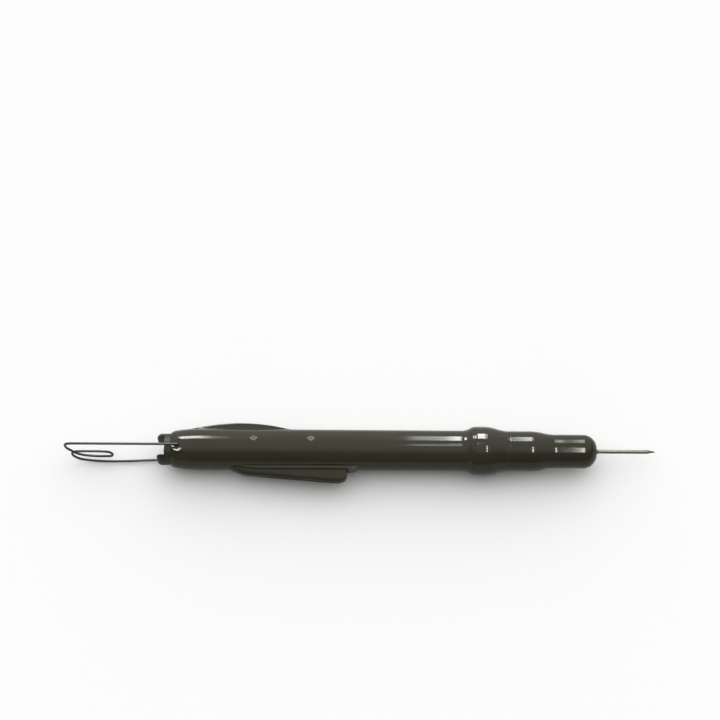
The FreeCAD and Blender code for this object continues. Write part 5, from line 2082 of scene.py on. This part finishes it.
@dataclass
class Studio:
    """Pale floor, soft lamps and the camera, in metres and degrees."""

    middle: Pair = (-0.1659, 0.0633)
    elevation: float = 66.0
    roll: float = 0.315
    distance: float = 1.4
    lens: float = 100.0
    sensor: float = 36.0
    floor_half: float = 12.0
    floor_colour: Colour = (0.92, 0.92, 0.915)
    floor_bounce: Colour = (0.50, 0.50, 0.49)
    floor_shade: float = 0.985
    floor_patches: float = 8.0
    floor_roughness: float = 0.9
    dome_angle: float = 126.0
    dome_bright: float = 1.6
    dome_dim: float = 0.22
    dome_edge: Pair = (0.2, 0.75)
    lamps: tuple[Lamp, ...] = (
        Lamp("back_window", 0.035, 143.5, 0.082, 1.00, 52.0),
        Lamp("back_window_middle", 0.1405, 143.5, 0.067, 1.00, 34.0),
        Lamp("back_window_front", 0.2435, 143.5, 0.089, 0.90, 15.0, (1.0, 0.96, 0.86)),
        Lamp("back_window_edge", -0.039, 143.5, 0.066, 1.00, 13.0),
        Lamp("top_tube", -0.041, 101.4, 0.062, 0.36, 9.0),
        Lamp("top_spot", 0.003, 103.5, 0.014, 0.45, 20.0),
        Lamp("nose_panel", 0.2575, 79.0, 0.098, 1.10, 45.0, (1.0, 0.97, 0.88)),
        Lamp("rear_window", -0.680, 142.0, 0.52, 0.60, 40.0, (1.0, 0.98, 0.93)),
    )

    def dress(self, floor_level: float) -> None:
        """Builds the whole studio.

        Args:
            floor_level: Height on which the object lies.
        """
        bpy.context.scene.view_settings.view_transform = "Standard"
        self.floor(floor_level)
        self.world()
        for lamp in self.lamps:
            lamp.hang()
        self.camera()
        LOG.info("studio: floor, dome, %d lamps and camera", len(self.lamps))

    def floor(self, level: float) -> bpy.types.Object:
        """Makes the floor, pale where the camera, gloss or glass sees it, greyer for its bounce.

        Args:
            level: Its height.

        Returns:
            The floor object.
        """
        half = self.floor_half
        corners = [(-half, -half, level), (half, -half, level), (half, half, level), (-half, half, level)]
        mesh = bpy.data.meshes.new("floor")
        mesh.from_pydata(corners, [], [(0, 1, 2, 3)])
        mesh.update()
        made = empty_material("floor_paper")
        wiring = Wiring(made.node_tree)
        tone = wiring.noise(wiring.coordinates(), self.floor_patches, detail=3.0)
        pale = (*self.floor_colour, 1.0)
        shade = (*(self.floor_shade * part for part in self.floor_colour), 1.0)
        ray = wiring.place("ShaderNodeLightPath", {}).outputs
        seen = wiring.math("MAXIMUM", ray["Is Camera Ray"], ray["Is Glossy Ray"])
        seen = wiring.math("MAXIMUM", seen, ray["Is Transmission Ray"])
        paper = wiring.blend(tone, shade, pale)
        wiring.principled({
            "Base Color": wiring.blend(seen, (*self.floor_bounce, 1.0), paper),
            "Roughness": self.floor_roughness,
            "Specular IOR Level": 0.0,
        })
        mesh.materials.append(made)
        return linked("floor", mesh)

    def world(self) -> None:
        """Sets a soft dome that is bright over the top and the back and dim in front.

        Its strength follows the cosine between a direction and the dome's own angle.
        """
        world = bpy.data.worlds.new("studio_dome")
        bpy.context.scene.world = world
        world.use_nodes = True
        wiring = Wiring(world.node_tree)
        turn = math.radians(self.dome_angle)
        way = (0.0, -math.cos(turn), math.sin(turn))
        nearness = wiring.vector_math("DOT_PRODUCT", wiring.coordinates("Generated"), way)
        strength = wiring.spread(
            nearness.outputs["Value"], self.dome_edge, (self.dome_dim, self.dome_bright),
            interpolation_type="SMOOTHSTEP",
        )
        white = {"Color": (1.0, 1.0, 1.0, 1.0), "Strength": strength}
        light = wiring.place("ShaderNodeBackground", white)
        wiring.place("ShaderNodeOutputWorld", {"Surface": light.outputs[0]})

    def camera(self) -> None:
        """Sets the camera above the lever side, so that the tool lies in the lower middle."""
        data = bpy.data.cameras.new("camera")
        data.lens = self.lens
        data.sensor_width = self.sensor
        data.sensor_fit = "HORIZONTAL"
        lean = math.radians(self.elevation)
        back = Vector((0.0, -math.cos(lean), math.sin(lean)))
        upward = Vector((0.0, math.sin(lean), math.cos(lean)))
        across = Vector((1.0, 0.0, 0.0))
        level = Matrix((across, upward, back)).transposed()
        camera = linked("camera", data)
        camera.matrix_world = (level @ Matrix.Rotation(math.radians(self.roll), 3, "Z")).to_4x4()
        camera.location = across * self.middle[0] + upward * self.middle[1] + back * self.distance
        bpy.context.scene.camera = camera


def main() -> None:
    """Builds the sub-assemblies in order and reports each piece."""
    logging.basicConfig(level=logging.INFO, format="%(name)s %(message)s")
    paint = Paint(frame["record"])
    InnerWorks().dress(frame["nodes"], paint)
    assemblies = [
        Barrel(), TorqueRing(), NoseCover(), ChuckSleeve(), DriverBit(), StartLever(),
        RearCap(), PowerSocket(), WireBail(), *SPRINGS,
    ]
    for assembly in assemblies:
        assembly.dress(paint)
    Studio().dress(cad_box[0][2])


if __name__ == "__main__":
    main()
